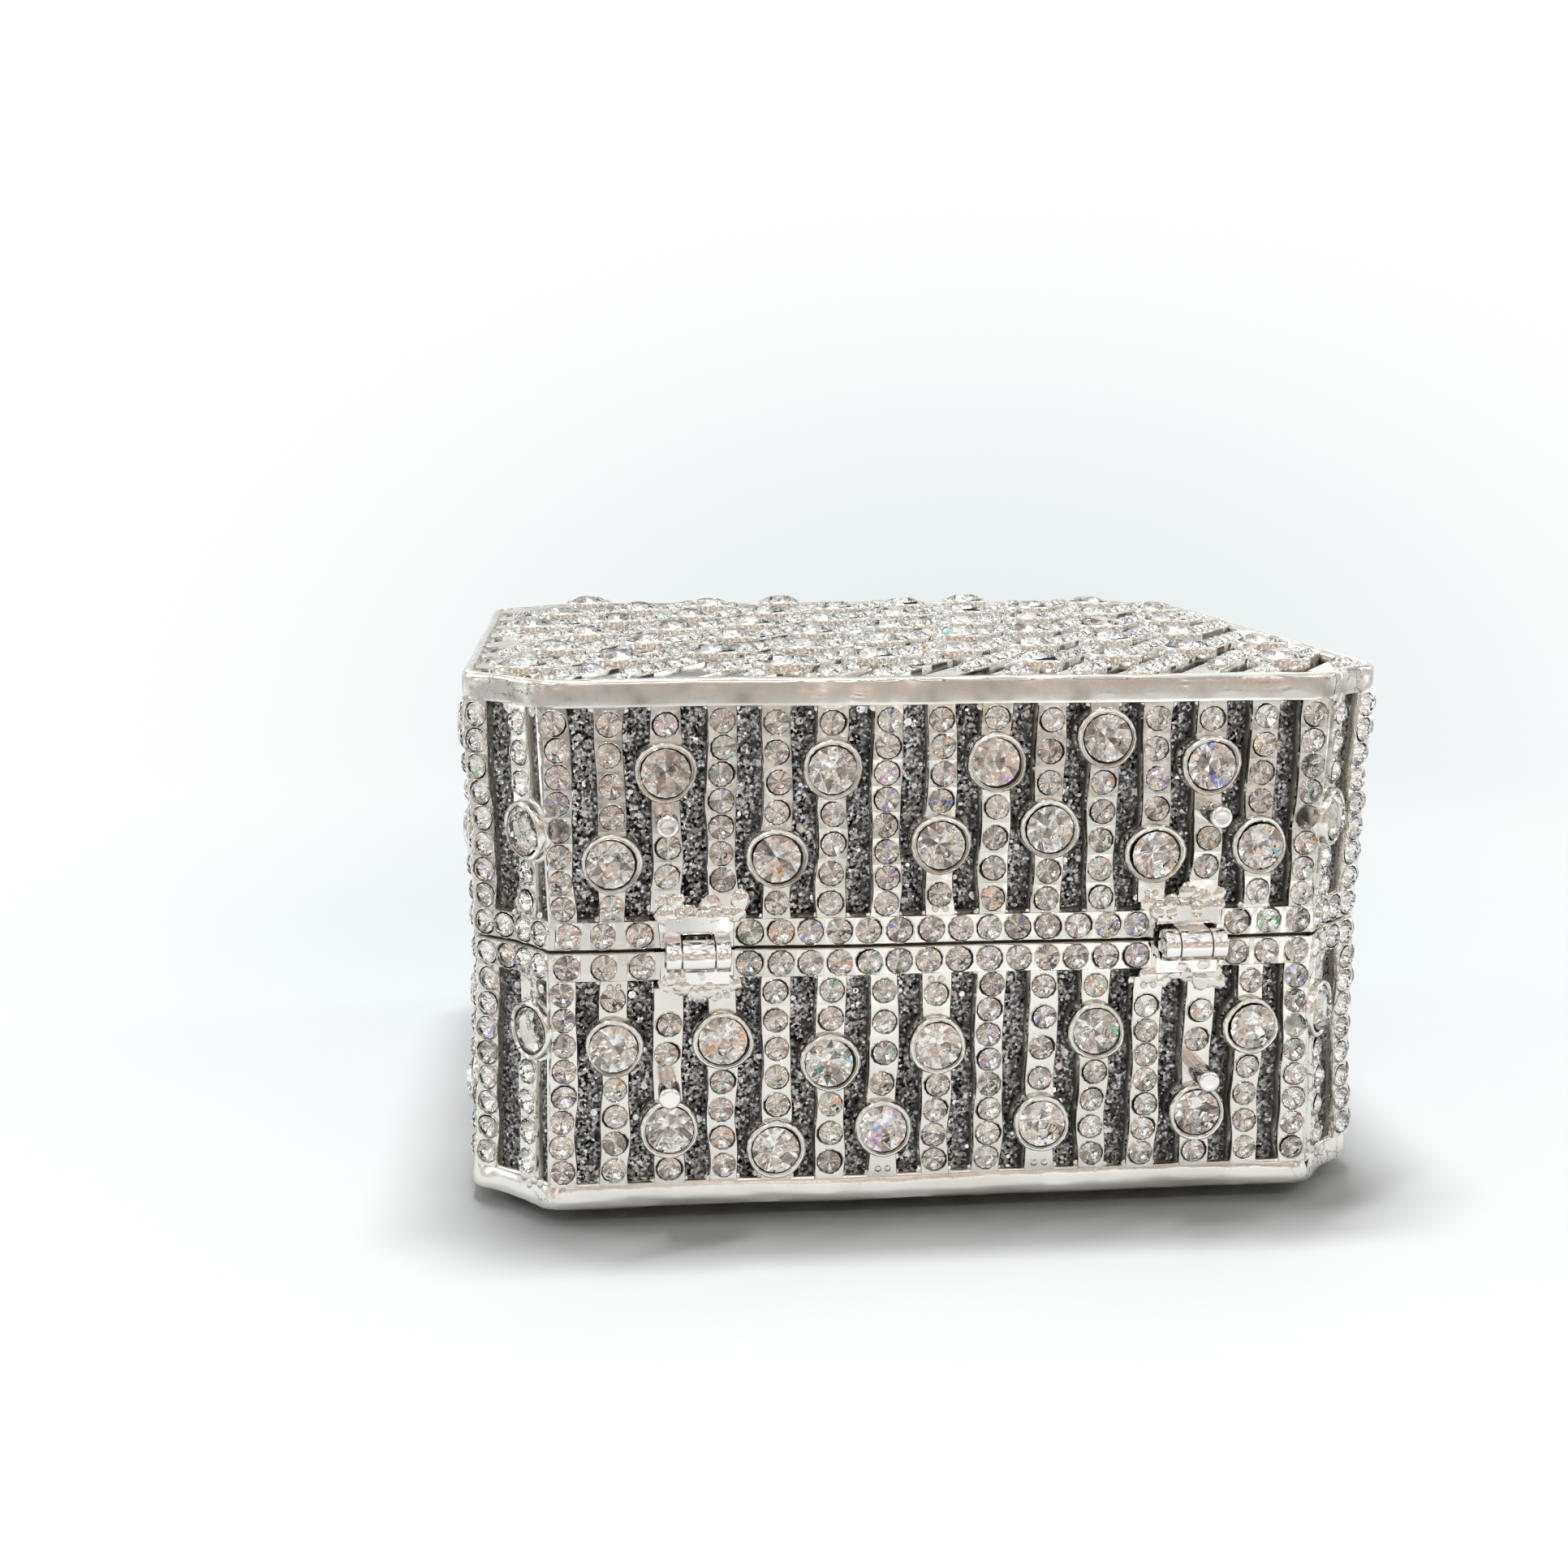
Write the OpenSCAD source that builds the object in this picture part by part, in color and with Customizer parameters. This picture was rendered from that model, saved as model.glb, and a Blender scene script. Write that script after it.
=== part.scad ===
// A hard evening clutch of cast openwork set with stones: two shells that open like a book on two hinges.
// It lies on its broad face, hinges at the front. The origin is on the ground, under the middle of the
// whole clutch with its pegs and its button.

/* [Case] */
// Width across the two sides
case_w = 102; // [99:1:108]
// Depth from the hinge face to the clasp face
case_d = 90; // [87:1:96]
// Height of each closed shell and its rim
shell_h = 28.8; // [28.4:0.2:32]
// Gap at the seam between the two shells
seam_gap = 0.4; // [0.3:0.1:0.6]
// Thickness of the cast openwork
wall_t = 2.2; // [1.9:0.1:2.5]
// Width of the slanted face of each stepped corner, along X
corner_run = 3.75; // [3.5:0.25:4.5]
// Depth of the slanted face of each stepped corner, along Y
corner_depth = 4.75; // [4.5:0.25:5.5]
// Width of the step beside each slanted face, along X
step_w = 4.5; // [4.25:0.25:5.5]
// Depth of the step beside each slanted face, along Y
step_back = 3.25; // [2.5:0.25:3.5]

/* [Bars] */
// Distance from one bar to the next
bar_pitch = 5.9; // [5.7:0.1:6.2]
// Width of a bar
bar_w = 2.9; // [2.8:0.05:3.1]
// Plain strip of wall between the slots and the rim
rim_strip = 0.6; // [0.4:0.1:0.9]
// Height of the plain band along the seam
seam_band = 3.1; // [2.9:0.1:3.5]
// Width of the plain band round the broad faces
face_band = 3.2; // [2.8:0.1:4]
// Lean of the bars on the broad faces, in degrees from the X axis
face_lean = 57; // [50:1:65]

/* [Stones] */
// Diameter of a small stone
small_d = 2.6; // [2.4:0.05:2.7]
// Height of a small stone
small_h = 0.9; // [0.7:0.05:1.1]
// Distance from one small stone to the next
small_pitch = 2.85; // [2.8:0.05:3.1]
// Distance from one stone of the seam rows to the next
seam_pitch = 3.2; // [3:0.1:3.6]
// How much closer the stones of the seam rows stand at the corners
corner_seam_tighter = 0.4; // [0.3:0.05:0.5]
// Diameter of a large stone
large_d = 5.3; // [5:0.1:5.4]
// Height of a large stone
large_h = 1.8; // [1.5:0.1:2]
// Outer diameter of a stone cup
cup_d = 6.4; // [6.2:0.1:6.6]
// Height of a stone cup above its bar
cup_h = 1.1; // [0.9:0.1:1.3]
// Height that the cups of the lower face stand past their stones
cup_guard = 0.2; // [0.1:0.05:0.4]
// Glue line under a stone and round it
glue_gap = 0.05; // [0.04:0.01:0.08]
// Distance along a bar of the broad faces from one large stone to the next
face_step = 26; // [24:1:30]

/* [Linings] */
// Thickness of the glitter sheet behind the openwork
sheet_t = 0.6; // [0.4:0.1:0.8]
// Thickness of the inner tray
tray_t = 1.2; // [0.9:0.1:1.5]
// Height that each tray stays below the edge of its shell
tray_drop = 0.3; // [0.2:0.1:0.6]

/* [Hinges] */
// Distance from the left end of the hinge face to the middle of the left hinge
left_hinge_in = 16.45; // [15.75:0.1:17.75]
// Distance from the right end of the hinge face to the middle of the right hinge
right_hinge_in = 15.15; // [14.75:0.1:17.75]
// Distance from the hinge face out to the hinge axis
hinge_out = 2.8; // [2.7:0.1:3.2]
// Diameter of the hinge barrel
barrel_d = 3.5; // [3.2:0.1:3.6]
// Length of the middle knuckle
mid_knuckle = 3.4; // [3:0.1:3.8]
// Length of each side knuckle
side_knuckle = 1.6; // [1.4:0.1:1.8]
// Gap between two knuckles
knuckle_gap = 0.12; // [0.1:0.02:0.2]
// Diameter of the hinge pin
pin_d = 1.4; // [1.2:0.1:1.6]
// Radial clearance of the pin in its knuckles
pin_clearance = 0.05; // [0.03:0.01:0.08]
// Thickness of a hinge leaf
leaf_t = 0.9; // [0.7:0.1:1]
// Height of a hinge leaf on its wall
leaf_h = 2.2; // [1.8:0.1:2.4]

/* [Pegs] */
// Diameter of a standing peg
peg_d = 2.4; // [2:0.1:2.6]
// Length of a standing peg
peg_l = 4.9; // [4.8:0.1:6]
// Round of the end of a standing peg
peg_round = 0.4; // [0.2:0.1:0.6]
// Space between a standing peg and the stone cup on its bar
peg_gap = 0.5; // [0.4:0.05:0.7]

/* [Clasp] */
// Distance from the seam down to the axis of the clasp button
button_drop = 6.6; // [6.4:0.1:7.4]
// Diameter of the button
button_d = 6; // [5.6:0.1:6.2]
// Height that the button stands out of its collar
button_out = 1.5; // [1.4:0.1:2]
// Length of the button inside its collar and sleeve
button_guide = 3.8; // [3.4:0.1:4.4]
// Travel of the button
button_travel = 1.2; // [1:0.1:1.3]
// Radial clearance of the button in its housing
button_clearance = 0.06; // [0.04:0.01:0.09]
// Diameter of the stone in the button
button_stone_d = 4; // [3.6:0.1:4.4]
// Wall of the button housing
housing_wall = 1.1; // [0.9:0.1:1.3]
// Width and height of the collar round the button
collar_t = 0.8; // [0.6:0.1:1]
// Diameter of the button stem
stem_d = 2; // [1.8:0.1:2.2]
// Wire diameter of the return spring
spring_wire = 0.4; // [0.3:0.05:0.5]
// Coils of the return spring
spring_coils = 4; // [3:1:5]
// Thickness of the clasp's catch and pawl
catch_t = 1; // [0.8:0.1:1.2]
// Width of the clasp's catch
catch_w = 5; // [4:0.5:6]
// Reach of the hooks of the catch and of the pawl
hook_out = 0.8; // [0.6:0.1:1]
// Free space between the catch and what it passes
catch_clearance = 0.3; // [0.25:0.05:0.4]
// Free space between the two hooks
hook_relief = 0.12; // [0.1:0.02:0.2]

/* [Hidden] */
$fn = 24;
cut = 0.5;

silver = [0.80, 0.79, 0.77];
crystal = [0.90, 0.92, 0.95];
charcoal = [0.16, 0.16, 0.18];
lining_grey = [0.30, 0.30, 0.33];

// Heights
case_bottom = large_h + cup_guard;
base_top = case_bottom + shell_h;
seam_z = base_top + seam_gap / 2;
lid_bottom = seam_z + seam_gap / 2;
case_top = lid_bottom + shell_h;

// Outline of the case, each corner from the flat face to the side
half_w = case_w / 2;
half_d = case_d / 2;
slant_end = half_w - step_w;
flat_end = slant_end - corner_run;
step_y = half_d - corner_depth;
side_end = step_y - step_back;
slant_l = norm([corner_run, corner_depth]);
slant_angle = atan2(corner_depth, corner_run);
step_l = norm([step_w, step_back]);
step_angle = atan2(step_back, step_w);
// Direction that a face of the corner looks to, turned by this angle from the rear to the right
function facing(angle) = [sin(angle), cos(angle)];
// Where two faces that meet at p still meet when both are drawn in
function drawn_in(p, a, b, inset) = p - inset * (facing(a) + facing(b)) / (1 + facing(a) * facing(b));
function corner_points(inset) = [
    drawn_in([flat_end, half_d], 0, slant_angle, inset),
    drawn_in([slant_end, step_y], slant_angle, step_angle, inset),
    drawn_in([half_w, side_end], step_angle, 90, inset)
];
function turned_over(points) = [for (i = [len(points) - 1:-1:0]) points[i]];
function mirrored(points, sx, sy) = [for (p = points) [p[0] * sx, p[1] * sy]];
function outline(inset) = concat(
    mirrored(corner_points(inset), 1, -1),
    turned_over(corner_points(inset)),
    mirrored(corner_points(inset), -1, 1),
    mirrored(turned_over(corner_points(inset)), -1, -1)
);
function depth_behind(p, at, angle) = (at - [abs(p[0]), abs(p[1])]) * facing(angle);
function inside(p, inset) =
    abs(p[0]) <= half_w - inset
    && abs(p[1]) <= half_d - inset
    && (depth_behind(p, [slant_end, step_y], slant_angle) >= inset
        || depth_behind(p, [slant_end, step_y], step_angle) >= inset);

// Walls, measured from the rim plate to the seam
wall_h = shell_h - wall_t;
seam_line = wall_h + seam_gap / 2;
slot_low = rim_strip;
slot_high = wall_h - seam_band;
slot_h = slot_high - slot_low;
front_half = corner_points(wall_t)[0][0];
side_half = corner_points(wall_t)[2][1];
seam_row = wall_h - seam_band / 2;
cup_r = cup_d / 2;
small_r = small_d / 2;
large_r = large_d / 2;
cup_clear = cup_r + small_r + 2 * glue_gap;
wall_stack = wall_t + sheet_t + tray_t;

// Heights of the large stones on the inner bars, from left to right seen from outside, as shares of the
// slot counted from the rim, with 0 for a bar that has none. A wall with fewer bars leaves out the middle
lid_front_shares = [0.72, 0.30, 0, 0.71, 0.29, 0, 0.66, 0.27, 0.59, 0.16, 0.72, 0.30, 0.69];
base_front_shares = [0.68, 0.27, 0.70, 0.15, 0.58, 0.24, 0.65, 0, 0.24, 0.70, 0, 0.27, 0.70];
lid_rear_shares = [0.70, 0.26, 0.66, 0, 0.30, 0.72, 0.28, 0, 0.68, 0.24, 0.60, 0.20, 0.69];
base_rear_shares = [0.28, 0.70, 0.25, 0.62, 0, 0, 0, 0, 0, 0.66, 0.22, 0.70, 0.30];
lid_side_shares = [0.28, 0.70, 0.24, 0, 0.70, 0.30, 0.72, 0.26, 0, 0.64, 0.22, 0.68];
base_side_shares = [0.70, 0.28, 0.72, 0.30, 0, 0.66, 0.24, 0.64, 0.22, 0, 0.70, 0.30];
lid_corner_share = 0.58;
base_corner_share = 0.74;
// Starts of the large stones on the bars of the broad faces, as shares of their step
face_start_shares = [0.1, 0.5, 0.9, 0.3, 0.7];

// Bars of a flat face of the given span: the outer two lie at its ends
function bar_gaps(span) = round((span - bar_w) / bar_pitch);
function bar_step(span) = (span - bar_w) / bar_gaps(span);
function bar_x(span, i) = -span / 2 + bar_w / 2 + i * bar_step(span);
front_span = 2 * flat_end;
side_span = 2 * side_end;

// Places from low to high that hold as many stones as fit at this pitch
function places(low, high, pitch) =
    let (n = max(floor((high - low) / pitch + 0.05), 0))
    [for (i = [0:1:n - 1]) low + (high - low) * (i + 0.5) / n];
function bar_rows(share) =
    share == 0
        ? places(slot_low, slot_high, small_pitch)
        : let (z = slot_low + share * slot_h)
          concat(
              places(slot_low, z - cup_clear + small_r, small_pitch),
              places(z + cup_clear - small_r, slot_high, small_pitch)
          );
function share_at(span, shares, i) =
    i <= bar_gaps(span) / 2
        ? shares[(i - 1) % len(shares)]
        : shares[len(shares) - 1 - (bar_gaps(span) - i - 1) % len(shares)];
function share_height(span, shares, i) = slot_low + share_at(span, shares, i) * slot_h;
function large_places(span, shares) = [
    for (i = [1:bar_gaps(span) - 1]) if (share_at(span, shares, i) > 0)
        [bar_x(span, i), share_height(span, shares, i)]
];
function small_places(span, shares) = [
    for (i = [1:bar_gaps(span) - 1]) for (z = bar_rows(share_at(span, shares, i)))
        [bar_x(span, i), z]
];
function end_places(span) = [
    for (i = [0, bar_gaps(span)]) for (z = bar_rows(0)) [bar_x(span, i), z]
];
function is_clear(p, spots, reach) = len([for (s = spots) if (norm(p - s) < reach) 1]) == 0;

// Bars of the broad faces
face_bars = ceil((half_w + half_d) / bar_pitch);
face_reach = ceil((half_w + half_d) / face_step);
face_dir = [cos(face_lean), sin(face_lean)];
face_side = [sin(face_lean), -cos(face_lean)];
face_turns = len(face_start_shares);
function face_start(i) = face_start_shares[(i + face_turns * face_bars) % face_turns] * face_step;
function face_point(i, s) = i * bar_pitch * face_side + s * face_dir;
face_large = [
    for (i = [-face_bars:face_bars]) for (j = [-face_reach:face_reach])
        let (p = face_point(i, face_start(i) + j * face_step))
        if (inside(p, cup_r + wall_t / 2)) p
];
face_small_n = floor((face_step - 2 * cup_clear) / small_pitch) + 1;
face_small = [
    for (i = [-face_bars:face_bars]) for (j = [-face_reach:face_reach]) for (k = [1:face_small_n])
        let (s = face_start(i) + (j + 0.5) * face_step + (k - (face_small_n + 1) / 2) * small_pitch)
        let (p = face_point(i, s))
        if (inside(p, face_band)) p
];

// Hinges
left_hinge_x = left_hinge_in - flat_end;
right_hinge_x = flat_end - right_hinge_in;
hinge_y = -half_d - hinge_out;
barrel_r = barrel_d / 2;
hinge_l = mid_knuckle + 2 * side_knuckle + 2 * knuckle_gap;
pad_edge = rim_strip;
hinge_pad_h = barrel_r + leaf_h + pad_edge;
mid_part = [[-mid_knuckle / 2, mid_knuckle / 2]];
side_parts = [
    [-hinge_l / 2, -hinge_l / 2 + side_knuckle],
    [hinge_l / 2 - side_knuckle, hinge_l / 2]
];

// Pegs
peg_r = peg_d / 2;
peg_bars = [2, bar_gaps(front_span) - 2];
function peg_places(shares) = [
    for (i = peg_bars)
        [bar_x(front_span, i), share_height(front_span, shares, i) + cup_r + peg_gap + peg_r]
];

// Clasp, its axis along Y
button_r = button_d / 2;
button_z = seam_z - button_drop;
sleeve_bore_r = button_r + button_clearance;
housing_r = sleeve_bore_r + housing_wall;
housing_hole_r = housing_r + glue_gap;
collar_r = housing_r + collar_t;
collar_y = half_d + collar_t;
button_face_y = collar_y + button_out;
button_back_y = collar_y - button_guide;
spring_l = button_travel + (spring_coils + 2) * spring_wire;
spring_r = (stem_d + button_d) / 4;
spring_seat_y = button_back_y - spring_l;
housing_end_y = spring_seat_y - housing_wall;
stem_r = stem_d / 2;
stem_bore_r = stem_r + button_clearance;
boss_r = stem_r + hook_out;
catch_y = housing_end_y - catch_clearance;
pawl_y = catch_y - catch_t - 2 * hook_out - hook_relief;
hook_h = hook_out;
catch_low = button_z + boss_r + catch_clearance;
nose_low = catch_low + hook_h + hook_relief;
bracket_low = lid_bottom + tray_drop + catch_clearance;
button_stone_h = button_stone_d * large_h / large_d;
stone_seat = button_stone_h / 2;

// Middle of the whole clutch along Y
front_reach = half_d + max(peg_l, hinge_out + barrel_r);
rear_reach = button_face_y + button_stone_h - stone_seat;
mid_shift = (front_reach - rear_reach) / 2;
module placed() { translate([0, mid_shift, 0]) children(); }

// What the small stones and the seam rows keep clear of, in the drawings of the walls
hinge_reach = hinge_l / 2 + pad_edge + small_r;
function clear_of_hinges(p) =
    p[1] < seam_line - hinge_pad_h - small_r
    || (abs(p[0] - left_hinge_x) > hinge_reach && abs(p[0] - right_hinge_x) > hinge_reach);
clasp_spot = [[0, seam_line - button_drop]];
clasp_reach = collar_r + small_r + pad_edge / 2;
function seam_places(low, high) = [for (x = places(low, high, seam_pitch)) [x, seam_row]];
front_seam_places = concat(
    seam_places(-flat_end, left_hinge_x - hinge_reach + small_r),
    seam_places(left_hinge_x + hinge_reach - small_r, right_hinge_x - hinge_reach + small_r),
    seam_places(right_hinge_x + hinge_reach - small_r, flat_end)
);
face_seam_places = seam_places(-flat_end, flat_end);
side_seam_places = seam_places(-side_end, side_end);
corner_seam_l = seam_pitch - corner_seam_tighter;

// One wall seen from outside, its rim edge at the bottom: bars, slots, bands and pads
module wall_drawing(span, half_l, shares, pads, notches) {
    step = bar_step(span);
    difference() {
        translate([-half_l, 0]) square([2 * half_l, wall_h]);
        difference() {
            for (i = [0:bar_gaps(span) - 1])
                translate([bar_x(span, i) + bar_w / 2, slot_low]) square([step - bar_w, slot_h]);
            for (p = large_places(span, shares)) translate(p) circle(r = cup_r);
            for (p = pads) translate([p[0], wall_h - p[2]]) square([p[1] - p[0], p[2]]);
        }
        for (n = notches) translate([n[0], wall_h - barrel_r]) square([n[1] - n[0], barrel_r + cut]);
    }
}
module cup_ring(h) {
    linear_extrude(h) difference() {
        circle(r = cup_r);
        circle(r = large_r + glue_gap);
    }
}
// A cast wall with its stone cups, lying flat with its outer face up
module cast_wall(span, half_l, shares, pads = [], notches = [], bore = 0) {
    difference() {
        union() {
            translate([0, 0, -wall_t]) linear_extrude(wall_t)
                wall_drawing(span, half_l, shares, pads, notches);
            for (p = large_places(span, shares)) translate(p) cup_ring(cup_h);
        }
        if (bore > 0) translate([0, seam_line - button_drop, -wall_t - cut])
            cylinder(r = bore, h = wall_t + 2 * cut);
    }
}

// A stone on its seat: a straight girdle under a crown with a flat table
girdle_share = 0.35;
table_share = 0.54;
module stone(d, h) {
    girdle_h = (h - glue_gap) * girdle_share;
    translate([0, 0, glue_gap]) {
        cylinder(d = d, h = girdle_h);
        translate([0, 0, girdle_h]) cylinder(d1 = d, d2 = d * table_share, h = h - glue_gap - girdle_h);
    }
}
module small_stones(spots) { for (p = spots) translate(p) stone(small_d, small_h); }
module large_stones(spots) { for (p = spots) translate(p) stone(large_d, large_h); }

// Puts a wall drawing on its side of the case, from the rim plate up
module on_front() { translate([0, -half_d, wall_t]) rotate([90, 0, 0]) children(); }
module on_rear() { translate([0, half_d, wall_t]) rotate([90, 0, 180]) children(); }
module on_right() { translate([half_w, 0, wall_t]) rotate([90, 0, 90]) children(); }
module on_left() { translate([-half_w, 0, wall_t]) rotate([90, 0, -90]) children(); }
module on_slant() {
    translate([(flat_end + slant_end) / 2, (half_d + step_y) / 2, wall_t])
        rotate([90, 0, 180 - slant_angle]) children();
}
module on_step() {
    translate([half_w, side_end, wall_t]) rotate([90, 0, 180 - step_angle])
        translate([bar_w / 2, 0, 0]) children();
}

// The base stands on its rim plate, and the lid is turned over
module in_base() { translate([0, 0, case_bottom]) children(); }
module in_lid() { translate([0, 0, case_top]) mirror([0, 0, 1]) children(); }

function widened(parts, x, extra) = [for (p = parts) [x + p[0] - extra, x + p[1] + extra]];
hinge_pads = [
    for (x = [left_hinge_x, right_hinge_x])
        [x - hinge_l / 2 - pad_edge, x + hinge_l / 2 + pad_edge, hinge_pad_h]
];
clasp_pads = [[-collar_r - pad_edge, collar_r + pad_edge, button_drop + collar_r + pad_edge]];
lid_notches = concat(
    widened(mid_part, left_hinge_x, knuckle_gap), widened(side_parts, right_hinge_x, knuckle_gap));
base_notches = concat(
    widened(side_parts, left_hinge_x, knuckle_gap), widened(mid_part, right_hinge_x, knuckle_gap));

module front_wall(shares, notches) {
    on_front() cast_wall(front_span, front_half, shares, hinge_pads, notches);
}
module rear_wall(shares, pads = [], bore = 0) {
    on_rear() cast_wall(front_span, front_half, shares, pads, [], bore);
}
module side_wall(shares) { cast_wall(side_span, side_half, shares); }

// One stepped corner, the right rear one; the others are its mirrors
slant_slot_w = (slant_l - bar_w) / 2;
slant_slot_x = slant_l / 2 - slant_slot_w - rim_strip / 2;
step_slot_w = step_l - bar_w - rim_strip / 2;
module corner_shape() {
    outer = corner_points(0);
    inner = corner_points(wall_t);
    polygon([[front_half, half_d], each outer, [half_w, side_half], each turned_over(inner)]);
}
module corner(share) {
    cup_z = slot_low + share * slot_h;
    difference() {
        union() {
            difference() {
                translate([0, 0, wall_t]) linear_extrude(wall_h) corner_shape();
                on_slant() translate([slant_slot_x, slot_low, -wall_t - cut])
                    cube([slant_slot_w, slot_h, wall_t + 2 * cut]);
                on_step() translate([bar_w / 2, slot_low, -wall_t - cut])
                    cube([step_slot_w, slot_h, wall_t + 2 * cut]);
            }
            on_slant() translate([0, cup_z, -rim_strip]) cylinder(r = cup_r, h = rim_strip + cup_h);
        }
        on_slant() translate([0, cup_z, -glue_gap]) cylinder(r = large_r + glue_gap, h = cup_h + cut);
    }
}
slant_bar_x = (slant_slot_x - slant_l / 2) / 2;
module corner_stones(share) {
    for (sx = [0, 1]) for (sy = [0, 1]) mirror([sx, 0, 0]) mirror([0, sy, 0]) {
        on_slant() {
            translate([0, slot_low + share * slot_h, 0]) stone(large_d, large_h);
            small_stones([for (z = bar_rows(share)) [slant_bar_x, z]]);
            small_stones([[-corner_seam_l / 2, seam_row], [corner_seam_l / 2, seam_row]]);
        }
        on_step() small_stones([for (z = bar_rows(0)) [0, z]]);
        on_step() small_stones([[0, seam_row], [corner_seam_l, seam_row]]);
    }
    on_front() small_stones(end_places(front_span));
    on_rear() small_stones(end_places(front_span));
    on_left() small_stones(end_places(side_span));
    on_right() small_stones(end_places(side_span));
}

// A broad face: a plate with slanted slots and cups under it
module face_drawing() {
    difference() {
        polygon(outline(0));
        difference() {
            intersection() {
                polygon(outline(face_band));
                for (i = [-face_bars:face_bars]) translate(face_point(i, 0)) rotate(face_lean)
                    translate([-half_w - half_d, bar_w / 2])
                        square([2 * (half_w + half_d), bar_pitch - bar_w]);
            }
            for (p = face_large) translate(p) circle(r = cup_r);
        }
    }
}
module face_grille(face_cup_h) {
    linear_extrude(wall_t) face_drawing();
    for (p = face_large) translate([p[0], p[1], -face_cup_h]) cup_ring(face_cup_h);
}
module face_large_stones() { mirror([0, 0, 1]) large_stones(face_large); }
module face_small_stones() {
    mirror([0, 0, 1]) small_stones([for (p = face_small) if (is_clear(p, face_large, cup_clear)) p]);
}

// Linings of a shell
module face_sheet() { translate([0, 0, wall_t]) linear_extrude(sheet_t) polygon(outline(wall_t)); }
module wall_sheet() {
    translate([0, 0, wall_t + sheet_t]) linear_extrude(wall_h - sheet_t) difference() {
        polygon(outline(wall_t));
        polygon(outline(wall_t + sheet_t));
    }
}
module tray() {
    tray_h = shell_h - wall_t - sheet_t - tray_drop;
    translate([0, 0, wall_t + sheet_t]) difference() {
        linear_extrude(tray_h) polygon(outline(wall_t + sheet_t));
        translate([0, 0, tray_t]) linear_extrude(tray_h) polygon(outline(wall_stack));
    }
}
module housing_hole() {
    along_clasp() translate([0, 0, half_d - wall_stack - cut])
        cylinder(r = housing_hole_r, h = wall_stack + 2 * cut);
}

// Hinge parts
module barrel(parts) {
    for (p = parts) translate([p[0], hinge_y, seam_z]) rotate([0, 90, 0]) difference() {
        cylinder(r = barrel_r, h = p[1] - p[0]);
        translate([0, 0, -cut]) cylinder(r = pin_d / 2 + pin_clearance, h = p[1] - p[0] + 2 * cut);
    }
}
module leaf(parts) {
    for (p = parts) difference() {
        translate([p[0], hinge_y, seam_z + barrel_r - leaf_t]) cube([p[1] - p[0], hinge_out, leaf_t]);
        translate([p[0] - cut, hinge_y, seam_z]) rotate([0, 90, 0])
            cylinder(r = pin_d / 2 + pin_clearance, h = p[1] - p[0] + 2 * cut);
    }
    translate([-hinge_l / 2, -half_d - leaf_t, seam_z + barrel_r]) cube([hinge_l, leaf_t, leaf_h]);
}
module hinge_half(parts) { union() { barrel(parts); leaf(parts); } }
module turned_down() { translate([0, 0, 2 * seam_z]) mirror([0, 0, 1]) children(); }
module pin() { translate([-hinge_l / 2, hinge_y, seam_z]) rotate([0, 90, 0]) cylinder(d = pin_d, h = hinge_l); }

module peg() {
    rotate_extrude() union() {
        square([peg_r, peg_l - peg_round]);
        square([peg_r - peg_round, peg_l]);
        translate([peg_r - peg_round, peg_l - peg_round]) intersection() {
            circle(r = peg_round);
            square(peg_round);
        }
    }
}
module pegs(shares) { on_front() for (p = peg_places(shares)) translate(p) peg(); }

// Clasp parts, turned about the axis of the button
module along_clasp() { translate([0, 0, button_z]) rotate([-90, 0, 0]) children(); }
module turned(profile) { along_clasp() rotate_extrude() polygon(profile); }
function ring_points(turn, z) = [
    for (k = [0:5]) [
        (spring_r + spring_wire / 2 * cos(60 * k)) * cos(turn),
        (spring_r + spring_wire / 2 * cos(60 * k)) * sin(turn),
        z + spring_wire / 2 * sin(60 * k)
    ]
];
module helix() {
    steps = 12;
    rings = steps * spring_coils;
    rise = spring_l - 2 * spring_wire;
    points = [for (i = [0:rings]) each ring_points(360 * i / steps, spring_wire + rise * i / rings)];
    sides = [
        for (i = [0:rings - 1]) for (k = [0:5])
            let (a = 6 * i + k, b = 6 * i + (k + 1) % 6) each [[a, b, b + 6], [a, b + 6, a + 6]]
    ];
    first = [for (k = [1:4]) [0, k + 1, k]];
    last = [for (k = [1:4]) [6 * rings, 6 * rings + k, 6 * rings + k + 1]];
    polyhedron(points = points, faces = [for (f = concat(sides, first, last)) [f[0], f[2], f[1]]]);
}

module base_bottom_grille() { color(silver) in_base() face_grille(case_bottom); }
module base_front_wall() { color(silver) in_base() front_wall(base_front_shares, base_notches); }
module base_rear_wall() { color(silver) in_base() rear_wall(base_rear_shares, clasp_pads, housing_hole_r); }
module base_left_wall() { color(silver) in_base() on_left() side_wall(base_side_shares); }
module base_right_wall() { color(silver) in_base() on_right() side_wall(base_side_shares); }
module base_rear_right_corner() { color(silver) in_base() corner(base_corner_share); }
module base_rear_left_corner() { color(silver) in_base() mirror([1, 0, 0]) corner(base_corner_share); }
module base_front_right_corner() { color(silver) in_base() mirror([0, 1, 0]) corner(base_corner_share); }
module base_front_left_corner() {
    color(silver) in_base() mirror([1, 0, 0]) mirror([0, 1, 0]) corner(base_corner_share);
}
module base_floor_glitter_sheet() { color(charcoal) in_base() face_sheet(); }
module base_wall_glitter_sheet() { color(charcoal) difference() { in_base() wall_sheet(); housing_hole(); } }
module base_inner_tray() { color(lining_grey) difference() { in_base() tray(); housing_hole(); } }
module base_front_large_stones() {
    color(crystal) in_base() on_front() large_stones(large_places(front_span, base_front_shares));
}
module base_rear_large_stones() {
    color(crystal) in_base() on_rear() large_stones(large_places(front_span, base_rear_shares));
}
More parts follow.
